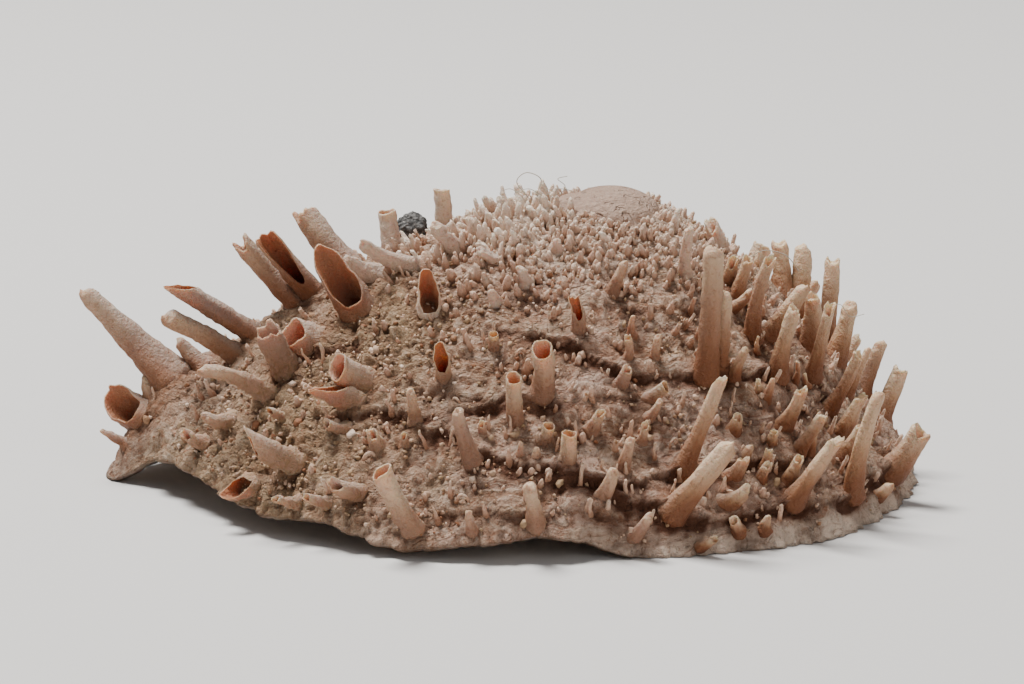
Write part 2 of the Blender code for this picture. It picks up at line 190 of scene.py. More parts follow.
RIGHT_SPINES = [
    (308, 0.65, 5.8, 1.1, 75, -30, "column", "out"), (311, 0.64, 3.7, 0.8, 74, -31, "column", "out"),
    (330, 0.48, 2.1, 0.8, 65, -25, "pit", "out"), (330, 0.44, 1.4, 0.7, 65, -25, "notch", "front"),
    (5, 0.47, 0.9, 0.4, 80, 40, "cone", "out"), (326, 0.58, 3.8, 0.8, 70, -25, "notch", "front"),
    (4, 0.56, 2.4, 1.0, 80, 110, "stump", "front"), (4, 0.60, 2.8, 1.1, 80, 45, "blunt", "out"),
    (4, 0.69, 3.5, 1.0, 80, 40, "stump", "front"), (356, 0.72, 2.7, 1.1, 75, -15, "closed", "out"),
    (334, 0.59, 2.7, 1.1, 55, -5, "quill", "out"), (326, 0.68, 3.3, 1.0, 70, -20, "pit", "out"),
    (346, 0.66, 2.6, 1.0, 75, -65, "pit", "out"), (338, 0.71, 3.5, 0.8, 70, -35, "notch", "front"),
    (336, 0.78, 3.0, 0.7, 60, -15, "pit", "out"), (348, 0.78, 2.4, 0.6, 65, -20, "quill", "out"),
    (4, 0.82, 2.3, 0.9, 65, 15, "quill", "out"), (3, 0.88, 2.2, 0.9, 65, 15, "stump", "front"),
    (344, 0.94, 2.4, 1.2, 55, -10, "stump", "front"), (329, 0.94, 4.9, 1.0, 70, -25, "quill", "out"),
    (299, 0.84, 4.5, 0.9, 65, 20, "notch", "top"), (296, 0.92, 4.1, 1.1, 50, 35, "blunt", "out"),
    (316, 0.92, 3.5, 1.0, 55, 10, "notch", "top"), (321, 0.83, 2.3, 0.7, 50, -10, "pit", "top"),
    (336, 0.83, 2.0, 0.8, 60, -15, "pit", "top"), (320, 0.78, 2.3, 0.8, 55, -15, "notch", "top"),
    (319, 0.72, 1.2, 0.5, 60, -20, "cone", "out"), (316, 0.81, 0.8, 0.5, 60, -30, "pit", "front"),
    (310, 0.77, 0.8, 0.6, 60, -15, "pit", "front"), (310, 0.83, 0.8, 0.5, 55, -5, "closed", "out"),
    (307, 0.86, 1.2, 0.7, 50, 5, "pit", "top"), (313, 0.85, 1.1, 0.5, 60, -20, "notch", "top"),
    (312, 0.87, 0.9, 0.5, 55, -10, "pit", "front"), (305, 0.91, 1.4, 0.8, 35, 15, "notch", "right"),
    (317, 0.88, 1.3, 0.7, 55, -20, "pit", "front"), (324, 0.84, 1.3, 0.4, 60, -40, "cone", "out"),
    (300, 0.98, 0.8, 0.5, 30, 20, "pit", "front"), (306, 0.96, 0.7, 0.6, 55, -70, "pit", "front"),
    (310, 0.96, 0.7, 0.6, 60, -15, "cone", "front"), (336, 0.96, 0.8, 0.6, 45, -5, "closed", "out"),
    (332, 0.87, 1.8, 0.8, 55, -15, "pit", "top"), (314, 0.66, 1.7, 0.6, 55, -15, "quill", "out"),
    (324, 0.62, 1.0, 0.3, 60, -55, "cone", "out"), (331, 0.70, 1.1, 0.3, 60, -55, "closed", "out"),
    (334, 0.72, 0.7, 0.4, 60, -85, "cone", "out"), (318, 0.70, 0.7, 0.4, 60, -40, "pit", "front"),
    (314, 0.56, 2.0, 0.6, 55, -15, "quill", "out"), (324, 0.50, 1.4, 0.6, 40, 0, "closed", "out"),
]
# Spines of the back, made by rule: their number, and the first and last azimuth and reach
BACK_COUNT = 30
BACK_AZIMUTH = (14, 146)
BACK_REACH = (0.64, 0.96)
GOLDEN = 0.618034
BACK_TIPS = ("closed", "pit", "quill", "scoop", "notch", "tube")

# Roots: depth in the wall in mm, how much less it is at the rim, and the reaches it changes between
ROOT_DEPTH = 0.5
RIM_ROOT_LESS = 0.26
ROOT_CHANGE = (0.85, 0.93)

# Small arched hooks: azimuth, reach, width, height and thickness in mm, and turn in degrees
ARCHES = [
    (272, 0.905, 0.55, 0.42, 0.13, 20), (261, 0.915, 0.50, 0.36, 0.11, -25),
    (275, 0.88, 0.40, 0.30, 0.10, 60), (284, 0.86, 0.42, 0.34, 0.12, 10),
    (306, 0.90, 0.46, 0.34, 0.12, -20), (262, 0.60, 0.40, 0.30, 0.10, 30),
    (241, 0.87, 0.50, 0.36, 0.14, 15), (298, 0.79, 0.36, 0.30, 0.10, 40),
    (252, 0.72, 0.38, 0.30, 0.10, -40),
]

# Lint: radius in mm, and the points that each fibre runs through, in mm from the rim's centre
LINT = [
    (0.020, [(0.9, -0.5, 12.0), (0.4, -0.6, 12.7), (0.8, -0.6, 13.1), (1.4, -0.5, 12.8),
             (1.2, -0.4, 12.1)]),
    (0.018, [(9.6, -2.6, 9.4), (10.4, -2.8, 10.2), (11.4, -3.0, 10.1), (12.0, -3.0, 9.4)]),
    (0.015, [(2.2, -0.3, 12.1), (2.4, -0.4, 12.5), (2.1, -0.4, 12.8), (2.5, -0.3, 12.9)]),
    (0.015, [(1.9, -0.4, 12.0), (1.6, -0.4, 12.3), (2.2, -0.5, 12.4), (2.7, -0.4, 12.3)]),
    (0.014, [(0.2, -0.5, 11.8), (-0.3, -0.5, 12.2), (0.1, -0.5, 12.4), (0.5, -0.5, 12.2)]),
    (0.014, [(0.6, -0.4, 12.0), (0.3, -0.5, 12.2), (0.9, -0.5, 12.4), (1.5, -0.4, 12.1),
             (1.9, -0.4, 12.3)]),
    (0.010, [(1.9, -11.8, 3.3), (2.2, -12.0, 3.25), (2.75, -12.5, 2.65), (3.25, -13.05, 2.0)]),
    (0.014, [(8.9, -3.4, 8.9), (9.6, -3.5, 9.3), (10.2, -3.4, 8.8), (10.9, -3.3, 8.3)]),
    (0.013, [(9.0, -3.2, 8.4), (9.5, -3.4, 8.7), (10.3, -3.4, 8.2), (10.6, -3.3, 8.9)]),
    (0.013, [(12.9, -4.4, 8.1), (13.6, -4.4, 8.3), (14.0, -4.4, 7.8), (14.6, -4.4, 7.9)]),
]

# Stage, lengths in metres: what the camera looks at, its distance, its angle above level in degrees
# and its lens in millimetres; the floor's half width and its gap below the shell
MIDDLE = (0.0006, -0.00025, 0.0058)
CAMERA_DISTANCE = 0.2
CAMERA_ELEVATION = 12
CAMERA_LENS = 168
FLOOR_HALF = 1.5
FLOOR_GAP = 0.00002


# ---------------------------------------------------------------- surfaces worked out with numpy


def smooth(value):
    """Ease from 0 to 1: three times the square less twice the cube of the clipped value."""
    value = np.clip(value, 0, 1)
    return value * value * (3 - 2 * value)


def unit(vectors):
    """Vectors divided by their lengths."""
    return vectors / np.maximum(np.linalg.norm(vectors, axis=-1, keepdims=True), 1e-9)


def full_turn(columns):
    """Angles in even steps round a circle, in radians."""
    return np.linspace(0, 2 * math.pi, columns, endpoint=False)


def near_angle(azimuth, centre, half_width):
    """1 at an azimuth, falling smoothly to 0 at half_width degrees from it."""
    apart = np.abs((azimuth - centre + 180) % 360 - 180)
    return smooth(1 - apart / half_width)


def ripple(points, size, seed):
    """Smooth noise of about -1 to 1: a sum of 14 sine waves of about one size, each in its own
    seeded direction and phase, divided by the root of half their number and by 1.4."""
    rng = np.random.default_rng(seed)
    waves = 14
    directions = unit(rng.normal(size=(waves, 3)))
    directions *= rng.uniform(0.7, 1.4, (waves, 1)) * 2 * math.pi / size
    phases = rng.uniform(0, 2 * math.pi, waves)
    total = np.zeros(points.shape[:-1])
    for direction, phase in zip(directions, phases):
        total += np.sin(points @ direction + phase)
    return total / math.sqrt(waves / 2) / 1.4


def around_rim(azimuth, column):
    """Read a column of RIM at azimuths: a cubic between two stations, whose slopes at both ends
    are the means of the slopes on either side of each station."""
    azimuth = np.mod(azimuth, 360)
    stations, values = RIM[:, 0], RIM[:, column]
    count = len(RIM)
    after = np.searchsorted(stations, azimuth, side="right")

    def station(index):
        return stations[index % count] + 360 * (index // count), values[index % count]

    (a0, v0), (a1, v1), (a2, v2), (a3, v3) = (station(after + k) for k in (-2, -1, 0, 1))
    step = a2 - a1
    slope = (v2 - v1) / step
    slope_1 = (slope + (v1 - v0) / (a1 - a0)) / 2
    slope_2 = (slope + (v3 - v2) / (a3 - a2)) / 2
    t = (azimuth - a1) / step
    start = (2 * t**3 - 3 * t**2 + 1) * v1 + (t**3 - 2 * t**2 + t) * step * slope_1
    return start + (3 * t**2 - 2 * t**3) * v2 + (t**3 - t**2) * step * slope_2


def saucer(azimuth, reach):
    """The smooth saucer, in mm: seen from above a straight line from the apex to the rim; its
    height falls by a power of the reach, higher on the left, with a bulge near the left rim and
    a dip in the left ridge."""
    azimuth, reach = np.broadcast_arrays(np.asarray(azimuth, float), np.asarray(reach, float))
    sizes = bpy.context.scene.spiny_shell_sizes
    angle = np.radians(azimuth)
    radius = around_rim(azimuth, 1)
    lift = np.maximum(around_rim(azimuth, 2), 0)
    x = APEX[0] + reach * (radius * np.cos(angle) - APEX[0]) + CENTRE_SHIFT[0]
    y = APEX[1] + reach * (radius * np.sin(angle) - APEX[1]) + CENTRE_SHIFT[1]
    left = ((1 - np.cos(angle)) / 2) ** 3
    right = ((1 + np.cos(angle)) / 2) ** 2
    power = STEEPNESS + LEFT_SHOULDER * left + RIGHT_SHOULDER * right
    cone = sizes.height / MM * (1 - reach**power) + lift * reach**3
    bulge = LEFT_BULGE * left**8 * smooth((reach - 0.77) / 0.09) * smooth((1 - reach) / 0.12)
    dip = LEFT_DIP * near_angle(azimuth, 165, 55) * np.exp(-(((reach - 0.38) / 0.1) ** 2))
    return np.stack([x, y, cone + bulge - dip], -1)


def saucer_normal(azimuth, reach):
    """Outward normals of the smooth saucer: the cross product of its two finite differences."""
    along = saucer(azimuth, reach + 0.002) - saucer(azimuth, np.maximum(reach - 0.002, 0))
    across = saucer(azimuth + 0.5, reach) - saucer(azimuth - 0.5, reach)
    return unit(np.cross(along, across))


def grid_faces(items, rows, columns, flip=False):
    """Faces of grids that close round their columns, with a pole point after each grid's points
    at both its ends: quads between rows, and triangles from the first and last row to the poles."""
    stride = rows * columns + 2
    start = np.arange(items)[:, None] * stride
    row, column = np.meshgrid(np.arange(rows - 1), np.arange(columns), indexing="ij")
    here = (row * columns + column).ravel()
    beside = (row * columns + (column + 1) % columns).ravel()
    quads = np.stack([here, beside, beside + columns, here + columns], -1)
    ring = np.arange(columns)
    following = (ring + 1) % columns
    last = (rows - 1) * columns
    first_pole = np.full(columns, rows * columns)
    first = np.stack([following, ring, first_pole], -1)
    final = np.stack([ring + last, following + last, first_pole + 1], -1)
    triangles = np.concatenate([first, final])
    if flip:
        quads, triangles = quads[:, ::-1], triangles[:, ::-1]
    quads = (start[:, :, None] + quads[None]).reshape(-1, 4)
    triangles = (start[:, :, None] + triangles[None]).reshape(-1, 3)
    return quads, triangles


def with_poles(grid, first, last):
    """Put each grid's two pole values after its points: (items, rows, columns, n) to (k, n)."""
    items, rows, columns, width = grid.shape
    flat = grid.reshape(items, rows * columns, width)
    return np.concatenate([flat, first[:, None], last[:, None]], 1).reshape(-1, width)


def with_middles(grid):
    """Put each grid's poles in the middles of its first and last rows."""
    return with_poles(grid, grid[:, 0].mean(1), grid[:, -1].mean(1))


# ------------------------------------------------------------------------------ making pieces


def new_piece(name, points, faces, attributes, material, replaced):
    """A mesh object at the origin, from points in mm, with its attributes, material and frame calls."""
    quads, triangles = faces
    mesh = bpy.data.meshes.new(name)
    mesh.vertices.add(len(points))
    mesh.vertices.foreach_set("co", (points * MM).astype(np.float32).ravel())
    mesh.loops.add(quads.size + triangles.size)
    corners = np.concatenate([quads.ravel(), triangles.ravel()])
    mesh.loops.foreach_set("vertex_index", corners.astype(np.int32))
    mesh.polygons.add(len(quads) + len(triangles))
    starts = np.concatenate([np.arange(len(quads)) * 4, quads.size + np.arange(len(triangles)) * 3])
    mesh.polygons.foreach_set("loop_start", starts.astype(np.int32))
    mesh.update(calc_edges=True)
    if mesh.validate():
        raise RuntimeError(f"{name} has faces that are not valid")
    for key, values in attributes.items():
        layer = mesh.attributes.new(key, "FLOAT", "POINT")
        layer.data.foreach_set("value", np.ascontiguousarray(values, np.float32).ravel())
    mesh.shade_smooth()
    mesh.materials.append(material)
    piece = bpy.data.objects.new(name, mesh)
    bpy.context.scene.collection.objects.link(piece)
    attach(piece, BODY)
    if replaced:
        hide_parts(replaced)


def new_grid_piece(name, points, values, material, replaced, flip=False):
    """A piece made of grids of points, and of values on them, with poles in their middles."""
    data = {key: with_middles(value) for key, value in values.items()}
    faces = grid_faces(*points.shape[:3], flip)
    new_piece(name, with_middles(points), faces, data, material, replaced)


def perpendicular(vectors, directions):
    """The part of each vector that is square to its direction, made a unit long."""
    return unit(vectors - (vectors * directions).sum(-1, keepdims=True) * directions)


def spine_frames(rows):
    """For spine rows: their feet, and unit vectors along each, towards its opening and across."""
    azimuth, reach, length, width, rise, turn = np.array([row[:6] for row in rows], float).T
    foot = saucer(azimuth, reach)
    heading = np.radians(azimuth + turn)
    up = np.radians(rise)
    along = np.stack([np.cos(up) * np.cos(heading), np.cos(up) * np.sin(heading), np.sin(up)], -1)
    away = np.radians(azimuth)
    outward = np.stack([np.cos(away), np.sin(away), 0 * away + 0.2], -1)
    facing = np.array([
        outward[i] if FACINGS[row[7]] is None else FACINGS[row[7]] for i, row in enumerate(rows)
    ])
    open_side = perpendicular(facing, along)
    across = np.cross(along, open_side)
    return foot, along, open_side, across, length, width


def spine_places(frames, share, radius, turn_angle, bends):
    """Points at a share of each spine's length and a radius: its foot, plus the length along it,
    plus a bend down and a bend sideways that both go with the share times its rest, plus the
    radius round it. Also how far each point's side faces up, from -1 to 1."""
    foot, along, open_side, across, length, _ = frames
    bow = 4 * length[:, None, None] * np.clip(share, 0, 1) * (1 - np.clip(share, 0, 1))
    down, sideways = bends
    down = down[:, None, None, None] * np.array([0.0, 0.0, -1.0])
    level = unit(np.cross(along, [0.0, 0.0, 1.0]))
    sideways = (sideways[:, None] * level)[:, None, None]
    centre = foot[:, None, None] + along[:, None, None] * (share * length[:, None, None])[..., None]
    centre = centre + bow[..., None] * (down + sideways)
    round_it = (
        open_side[:, None, None] * np.cos(turn_angle)[..., None]
        + across[:, None, None] * np.sin(turn_angle)[..., None]
    )
    return centre + round_it * radius[..., None], round_it[..., 2]


def spine_radius(frames, share, turn_angle, taper, waist, phase):
    """Outer radius: half the width times the waist, tapering to the tip, flared where it joins
    the saucer (more for a narrower waist), drawn in inside the wall, slightly oval, with a few
    ribs, swellings and faint rings."""
    length, width = frames[4][:, None, None], frames[5][:, None, None]
    distance = np.maximum(share, 0) * length
    narrowed = 1 - waist[:, None, None]
    flare = (0.18 + 1.7 * narrowed) * np.exp(-distance / ((0.32 + 1.4 * narrowed) * width))
    root = 1 - 0.45 * np.clip(-share * length / ROOT_DEPTH, 0, 1)
    ribs = 0.09 * np.cos(2 * turn_angle + phase[0])
    ribs = ribs + 0.035 * np.cos(3 * turn_angle + phase[1] + distance)
    ribs = ribs + 0.02 * np.cos(7 * turn_angle + phase[2])
    ribs = ribs + 0.012 * np.cos(13 * turn_angle + phase[3])
    swell = 0.035 * np.sin(distance * 2 * math.pi / 1.7 + phase[4])
    rings = 0.014 * np.sin(distance * 2 * math.pi / 0.42 + phase[5])
    slim = 1 - (1 - taper[:, None, None]) * np.clip(share, 0, 1) ** 0.85
    return width / 2 * (slim + flare) * waist[:, None, None] * root * (1 + ribs + swell + rings)


def spine_streaks(turn_angle, share, phase):
    """Lengthwise streaks of 0 to 1: three waves round the spine that twist a little along it."""
    waves = np.sin(3 * turn_angle + 2 * share + phase[2])
    waves = waves + np.sin(5 * turn_angle - 2 * share + phase[4])
    waves = waves + np.sin(8 * turn_angle + 3 * share + phase[5])
    return np.clip(0.5 + 0.22 * waves, 0, 1)


def crusted(rows, share):
    """How much sand sticks to spines: on the left front, most at the foot."""
    azimuth = np.array([row[0] for row in rows], float)
    reach = np.array([row[1] for row in rows], float)
    patch = near_angle(azimuth, SAND_SIDE, 48) * smooth((reach - 0.55) / 0.25)
    return patch[:, None, None] * np.clip(1.0 - 1.1 * share, 0, 1)


def root_depth(rows):
    """How deep the roots of spines go, in mm: less near the rim, where the wall is thin."""
    reach = np.array([row[1] for row in rows], float)
    start, end = ROOT_CHANGE
    return ROOT_DEPTH - RIM_ROOT_LESS * smooth((reach - start) / (end - start))


def begin_spines(rows, table, seed):
    """What closed and hollow spines both start from: the numbers of each one's kind, a seeded
    generator, the frames, the bends down (about the kind's own) and sideways, and phases."""
    rng = np.random.default_rng(seed)
    kinds = np.array([table[row[6]] for row in rows], float).T
    count = len(rows)
    own_bow = kinds[-2]
    bends = (own_bow + rng.normal(0, 0.022, count), rng.normal(0, 0.035, count))
    phase = rng.uniform(0, 2 * math.pi, (8, count, 1, 1))
    return kinds, rng, spine_frames(rows), bends, phase


def closed_spines(rows, columns, steps, seed):
    """Closed spines: rings from a root in the wall up to the tip, where the radius falls as a
    quarter circle, a little to one side. Returns points, faces and values."""
    (taper, _, waist), rng, frames, bends, phase = begin_spines(rows, CLOSED_TIPS, seed)
    count, (length, width) = len(rows), frames[4:]
    root = (root_depth(rows) / length)[:, None, None]
    dome = (0.42 * width * waist * taper / length)[:, None, None]
    step = np.linspace(0, 1, steps)[None, :, None]
    share = -root + (1 - 0.02 * dome + root) * (1 - (1 - step) ** 1.35)
    share = np.broadcast_to(share, (count, steps, columns))
    angle = np.broadcast_to(full_turn(columns), share.shape)
    radius = spine_radius(frames, share, angle, taper, waist, phase)
    over = np.clip((share - (1 - dome)) / dome, 0, 1)
    radius = radius * np.sqrt(np.maximum(1 - over**2.4, 0.0004))
    uneven = 0.35 * dome * over * (np.cos(angle + phase[6]) + 0.6 * np.cos(2 * angle + phase[7]))
    points, facing = spine_places(frames, share + uneven, radius, angle, bends)
    crust = crusted(rows, share)
    points += ((0.016 + 0.040 * crust) * ripple(points, 0.45, seed + 1))[..., None]
    tint = rng.uniform(0, 1, (count, 1, 1))
    streak = spine_streaks(angle, share, phase)
    return pack_spines(points, share, 0, tint, facing, streak, crust)


def hollow_spines(rows, columns, steps, inner_steps, seed):
    """Hollow spines: rings up the outside to a lip, over it and down the inside to a floor. The
    height of the lip changes round the spine, by a lobe on the open side and by ragged noise."""
    kinds, rng, frames, bends, phase = begin_spines(rows, HOLLOW_TIPS, seed)
    cut, narrow, ragged, lobes, taper, wall, depth, _, waist = kinds
    count, (length, width) = len(rows), frames[4:]
    ring = full_turn(columns)[None]
    lobe = (np.cos(ring * lobes[:, None]) - narrow[:, None]) / (1 - narrow[:, None])
    notches = np.zeros((count, columns))
    for waves in (1, 2, 3, 5, 8):
        notches += np.sin(waves * ring + rng.uniform(0, 2 * math.pi, (count, 1))) / waves**0.5
    width_share = (width / length)[:, None]
    top = 1 - np.minimum(cut[:, None] * width_share, 0.85) * np.clip(lobe, 0, 1)
    top = top - ragged[:, None] * width_share * (1.2 + notches)
    top = np.clip(top, 0.16, 1.0)[:, None]
    root = (root_depth(rows) / length)[:, None, None]
    wall = np.maximum(wall * width, 0.05)[:, None, None]
    angle = np.broadcast_to(ring[:, None], (count, 1, columns))

    up = 1 - (1 - np.linspace(0, 1, steps)[None, :, None]) ** 1.3
    share_out = -root + (top + root) * up
    angle_out = np.broadcast_to(angle, share_out.shape)
    radius_out = spine_radius(frames, share_out, angle_out, taper, waist, phase)
    deepest = (depth * width / length)[:, None, None]
    floor = np.maximum(np.minimum(0.08, 0.5 * top), top - deepest)
    down = np.linspace(0, 1, inner_steps)[None, :, None]
    share_in = top - (top - floor) * down
    angle_in = np.broadcast_to(angle, share_in.shape)
    radius_in = spine_radius(frames, share_in, angle_in, taper, waist, phase)
    radius_in = np.maximum(radius_in - wall, 0.25 * radius_in)
    radius_in = radius_in + 0.5 * wall * np.exp(-(top - share_in) * length[:, None, None] / 0.2)
    radius_in = radius_in * (1 - 0.35 * smooth(down * 3 - 2))
    lip_share = top + 0.3 * wall / length[:, None, None]
    lip_radius = (radius_out[:, -1:] + radius_in[:, :1]) / 2
    share = np.concatenate([share_out, lip_share, share_in], 1)
    radius = np.concatenate([radius_out, lip_radius, radius_in], 1)
    angle = np.broadcast_to(angle, share.shape)
    points, facing = spine_places(frames, share, radius, angle, bends)
    crust = crusted(rows, share)
    points += ((0.016 + 0.035 * crust) * ripple(points, 0.45, seed + 1))[..., None]
    inside = np.zeros_like(share)
    below = (top - share_in) * length[:, None, None] / width[:, None, None]
    shallow = np.clip(depth / 3, 0, 1)[:, None, None] ** 1.4
    start = 0.3 + 0.4 * smooth(cut[:, None, None] - 0.3)
    # How far down inside the hollow each point is; the spine material paints shade with the deeper
    # values
    inside[:, steps + 1:] = (start + (1 - start) * np.clip(below / 3.0, 0, 1)) * shallow
    tint = rng.uniform(0, 1, (count, 1, 1))
    streak = spine_streaks(angle, share, phase)
    return pack_spines(points, share, inside, tint, facing, streak, crust)


def pack_spines(points, share, inside=0, tint=0, facing=0, streak=0, crust=0):
    """Add both poles to grids of points and of the values they carry, and make their faces."""
    count, rows, columns, _ = points.shape
    carried = (np.clip(share, 0, 1), inside, tint, facing, streak, crust)
    values = np.stack([np.broadcast_to(value, points.shape[:3]) for value in carried], -1)
    return with_middles(points), grid_faces(count, rows, columns), with_middles(values)


def join_batches(batches):
    """Join several (points, faces, values) into one, shifting the later faces' numbers."""
    points, quads, triangles, values = [], [], [], []
    shift = 0
    for batch_points, (batch_quads, batch_triangles), batch_values in batches:
        points.append(batch_points)
        quads.append(batch_quads + shift)
        triangles.append(batch_triangles + shift)
        values.append(batch_values)
        shift += len(batch_points)
    faces = (np.concatenate(quads), np.concatenate(triangles))
    return np.concatenate(points), faces, np.concatenate(values)


def spine_batches(rows, seed, columns, steps):
    """Split rows into closed and hollow ones and make each lot."""
    closed = [row for row in rows if row[6] in CLOSED_TIPS]
    hollow = [row for row in rows if row[6] in HOLLOW_TIPS]
    batches = []
    if closed:
        batches.append(closed_spines(closed, columns, steps, seed))
    if hollow:
        batches.append(hollow_spines(hollow, columns, steps, max(6, steps // 2), seed + 50))
    return join_batches(batches)


def spine_attributes(values, warmth, high=0.0):
    """The columns of spine values as mesh attributes, with a warmth for the whole group and how
    high on the ridge each point is."""
    return {
        "along": values[:, 0], "inside": values[:, 1], "tint": values[:, 2],
        "upward": values[:, 3], "streak": values[:, 4], "crust": values[:, 5],
        "warmth": np.full(len(values), warmth),
        "high": np.broadcast_to(np.asarray(high, float), len(values)),
    }


def back_spines():
    """Rows for the back: azimuths in even steps, reaches and sizes by golden fractions, shorter
    towards the left."""
    rows = []
    near, far = BACK_AZIMUTH
    inner, outer = BACK_REACH
    for i in range(BACK_COUNT):
        across = (i + 0.5) / BACK_COUNT
        size = (i * GOLDEN * GOLDEN * 3) % 1
        azimuth = near + across * (far - near)
        reach = inner + (i * GOLDEN) % 1 * (outer - inner)
        length = (1.5 + 1.5 * size) * (1.2 - 0.6 * across)
        tip = BACK_TIPS[i % len(BACK_TIPS)]
        width, rise, turn = 0.7 + 0.4 * size, 50 + 15 * size, 20 * (size - 0.5)
        rows.append((azimuth, reach, length, width, rise, turn, tip, "out"))
    return rows


def large_spines():
    """Every spine that the frame has or that is listed."""
    return LEFT_SPINES + RIDGE_SPINES + FRONT_SPINES + RIGHT_SPINES + back_spines()


def mounds(points, rows):
    """How near the feet of spines are, in mm: the sum of bells as wide as each spine."""
    feet = spine_frames(rows)[0]
    widths = np.array([row[3] for row in rows])
    flat = points.reshape(-1, 3)
    total = np.zeros(len(flat))
    for foot, width in zip(feet, widths):
        square = ((flat - foot) ** 2).sum(1)
        total += width * np.exp(-square / (0.8 * width) ** 2)
    return np.minimum(total, 1.5).reshape(points.shape[:-1])


def ledge_relief(azimuth, reach, place):
    """Growth ledges: each rises slowly towards its line, drops steeply just past it and leaves a
    groove, on a line that wanders a little and fades at its ends. Returns height, and painted
    shade in the groove and below each ledge."""
    height = np.zeros_like(reach)
    crevice_shade = np.zeros_like(reach)
    wander = 0.008 * ripple(place, 3.5, 21) + 0.005 * ripple(place, 1.1, 22)
    strength = 0.7 + 0.3 * ripple(place, 2.4, 23)
    for tall, stations in LEDGES:
        stations = np.array(stations, float)
        middle = stations[:, 0].mean()
        turned = (azimuth - middle + 180) % 360 - 180 + middle
        line = reach - np.interp(turned, stations[:, 0], stations[:, 1]) - wander
        start, end = stations[0, 0], stations[-1, 0]
        share = smooth((turned - start) / LEDGE_FADE + 1) * smooth((end - turned) / LEDGE_FADE + 1)
        share = share * np.clip(strength, 0.25, 1.2)
        rise = smooth(line / LEDGE_RISE + 1) ** 1.5
        drop = smooth(line / LEDGE_DROP)
        groove = np.exp(-(((line - LEDGE_GROOVE[0]) / LEDGE_GROOVE[1]) ** 2))
        height += tall * share * (rise * (1 - drop) - 0.35 * groove * drop)
        # Painted shade: a dark band just below each ledge's drop, where its overhang shades the saucer
        ledge_foot_shade = smooth((LEDGE_SHADE[0] - line) / LEDGE_SHADE[1])
        crevice_shade += 3.9 * tall * share * smooth(line / 0.004) * ledge_foot_shade
    return height, np.clip(crevice_shade, 0, 1)


def knob_dome(place):
    """The smooth knob on the apex: half an oval, and a lower lobe on its left. Returns the height
    and where it's smooth."""
    tall = bpy.context.scene.spiny_shell_sizes.knob / MM
    main, lobe = (
        ((place[..., 0] - x) / half_x) ** 2 + ((place[..., 1] - y) / half_y) ** 2
        for x, y, half_x, half_y in (KNOB_MAIN, KNOB_LOBE)
    )
    height = tall * np.clip(1 - main, 0, 1) ** 0.4
    height = np.maximum(height, 0.55 * tall * np.clip(1 - lobe, 0, 1) ** 0.25)
    return height, smooth((1.16 - np.minimum(main, lobe)) / 0.14)


def saucer_relief(azimuth, reach):
    """The saucer's outside with its relief along the normal: ledges, fine growth steps, swells,
    grain and mounds under the spines, and a smooth dome on the apex. Returns points and values."""
    place = saucer(azimuth, reach)
    normal = saucer_normal(azimuth, reach)
    dome, knob = knob_dome(place)
    rough = 1 - knob
    ledge, crevice_shade = ledge_relief(azimuth, reach, place)
    sand = near_angle(azimuth, SAND_SIDE, 50) * smooth((reach - 0.40) / 0.2)
    flange = near_angle(azimuth, FLANGE_SIDE, 66) * smooth((reach - 0.935) / 0.04)
    wave = 2.5 * ripple(place, 2.6, 31) + 0.8 * ripple(place, 0.9, 36)
    steps = 0.045 * np.abs(np.sin(reach * 95 + wave)) * smooth((reach - 0.35) / 0.2) * (1 - 0.6 * sand)
    swell = 0.09 * ripple(place, 3.2, 32) + 0.07 * ripple(place, 1.2, 33)
    grain = (0.045 + 0.06 * sand) * ripple(place, 0.55, 34)
    grain = grain + (0.030 + 0.045 * sand) * ripple(place, 0.3, 35)
    grain = grain + 0.10 * sand * np.abs(ripple(place, 1.1, 37)) - 0.05 * sand
    relief = ledge + steps + swell * (1 - 0.6 * flange) + grain * (1 - 0.6 * flange)
    relief = relief * rough * smooth((1.02 - reach) / 0.05)
    feet = mounds(place, large_spines())
    relief = relief + 0.09 * feet * rough + dome
    # Painted shade in the low places of the grain and swells, added to the shade of the ledges
    hollow = np.clip(-(grain + 0.5 * swell) / 0.10, 0, 1)
    attributes = {
        "crevice_shade": np.clip(crevice_shade * rough + 0.4 * hollow, 0, 1),
        "sand": sand,
        "flange": flange,
        "knob": knob,
        "grow": reach + 0.0105 * wave,
        # Painted shade round the spines' feet, strongest on the right
        "feet": np.clip(feet, 0, 1) * (0.45 + 0.55 * near_angle(azimuth, 330, 80)),
        "high": smooth((0.52 - reach) / 0.3) * rough,
    }
    return place + normal * relief[..., None], attributes


# ---------------------------------------------------------------------------------- materials


class Value:
    """A socket's output in one material, with arithmetic that adds Math nodes."""

    def __init__(self, recipe, socket):
        self.recipe = recipe
        self.socket = socket

    def math(self, operation, *others):
        return self.recipe.add("ShaderNodeMath", {"operation": operation}, dict(enumerate(others)))

    def __add__(self, other):
        return self.math("ADD", self, other)

    def __radd__(self, other):
        return self.math("ADD", other, self)

    def __sub__(self, other):
        return self.math("SUBTRACT", self, other)

    def __rsub__(self, other):
        return self.math("SUBTRACT", other, self)

    def __mul__(self, other):
        return self.math("MULTIPLY", self, other)

    def __rmul__(self, other):
        return self.math("MULTIPLY", other, self)

    def clip(self):
        """Kept between 0 and 1."""
        return self.recipe.add("ShaderNodeClamp", {}, {0: self})

    def between(self, low, high):
        """0 below low, 1 above high, and smooth between them."""
        settings = {"interpolation_type": "SMOOTHSTEP"}
        inputs = {0: self, 1: low, 2: high, 3: 0.0, 4: 1.0}
        return self.recipe.add("ShaderNodeMapRange", settings, inputs)


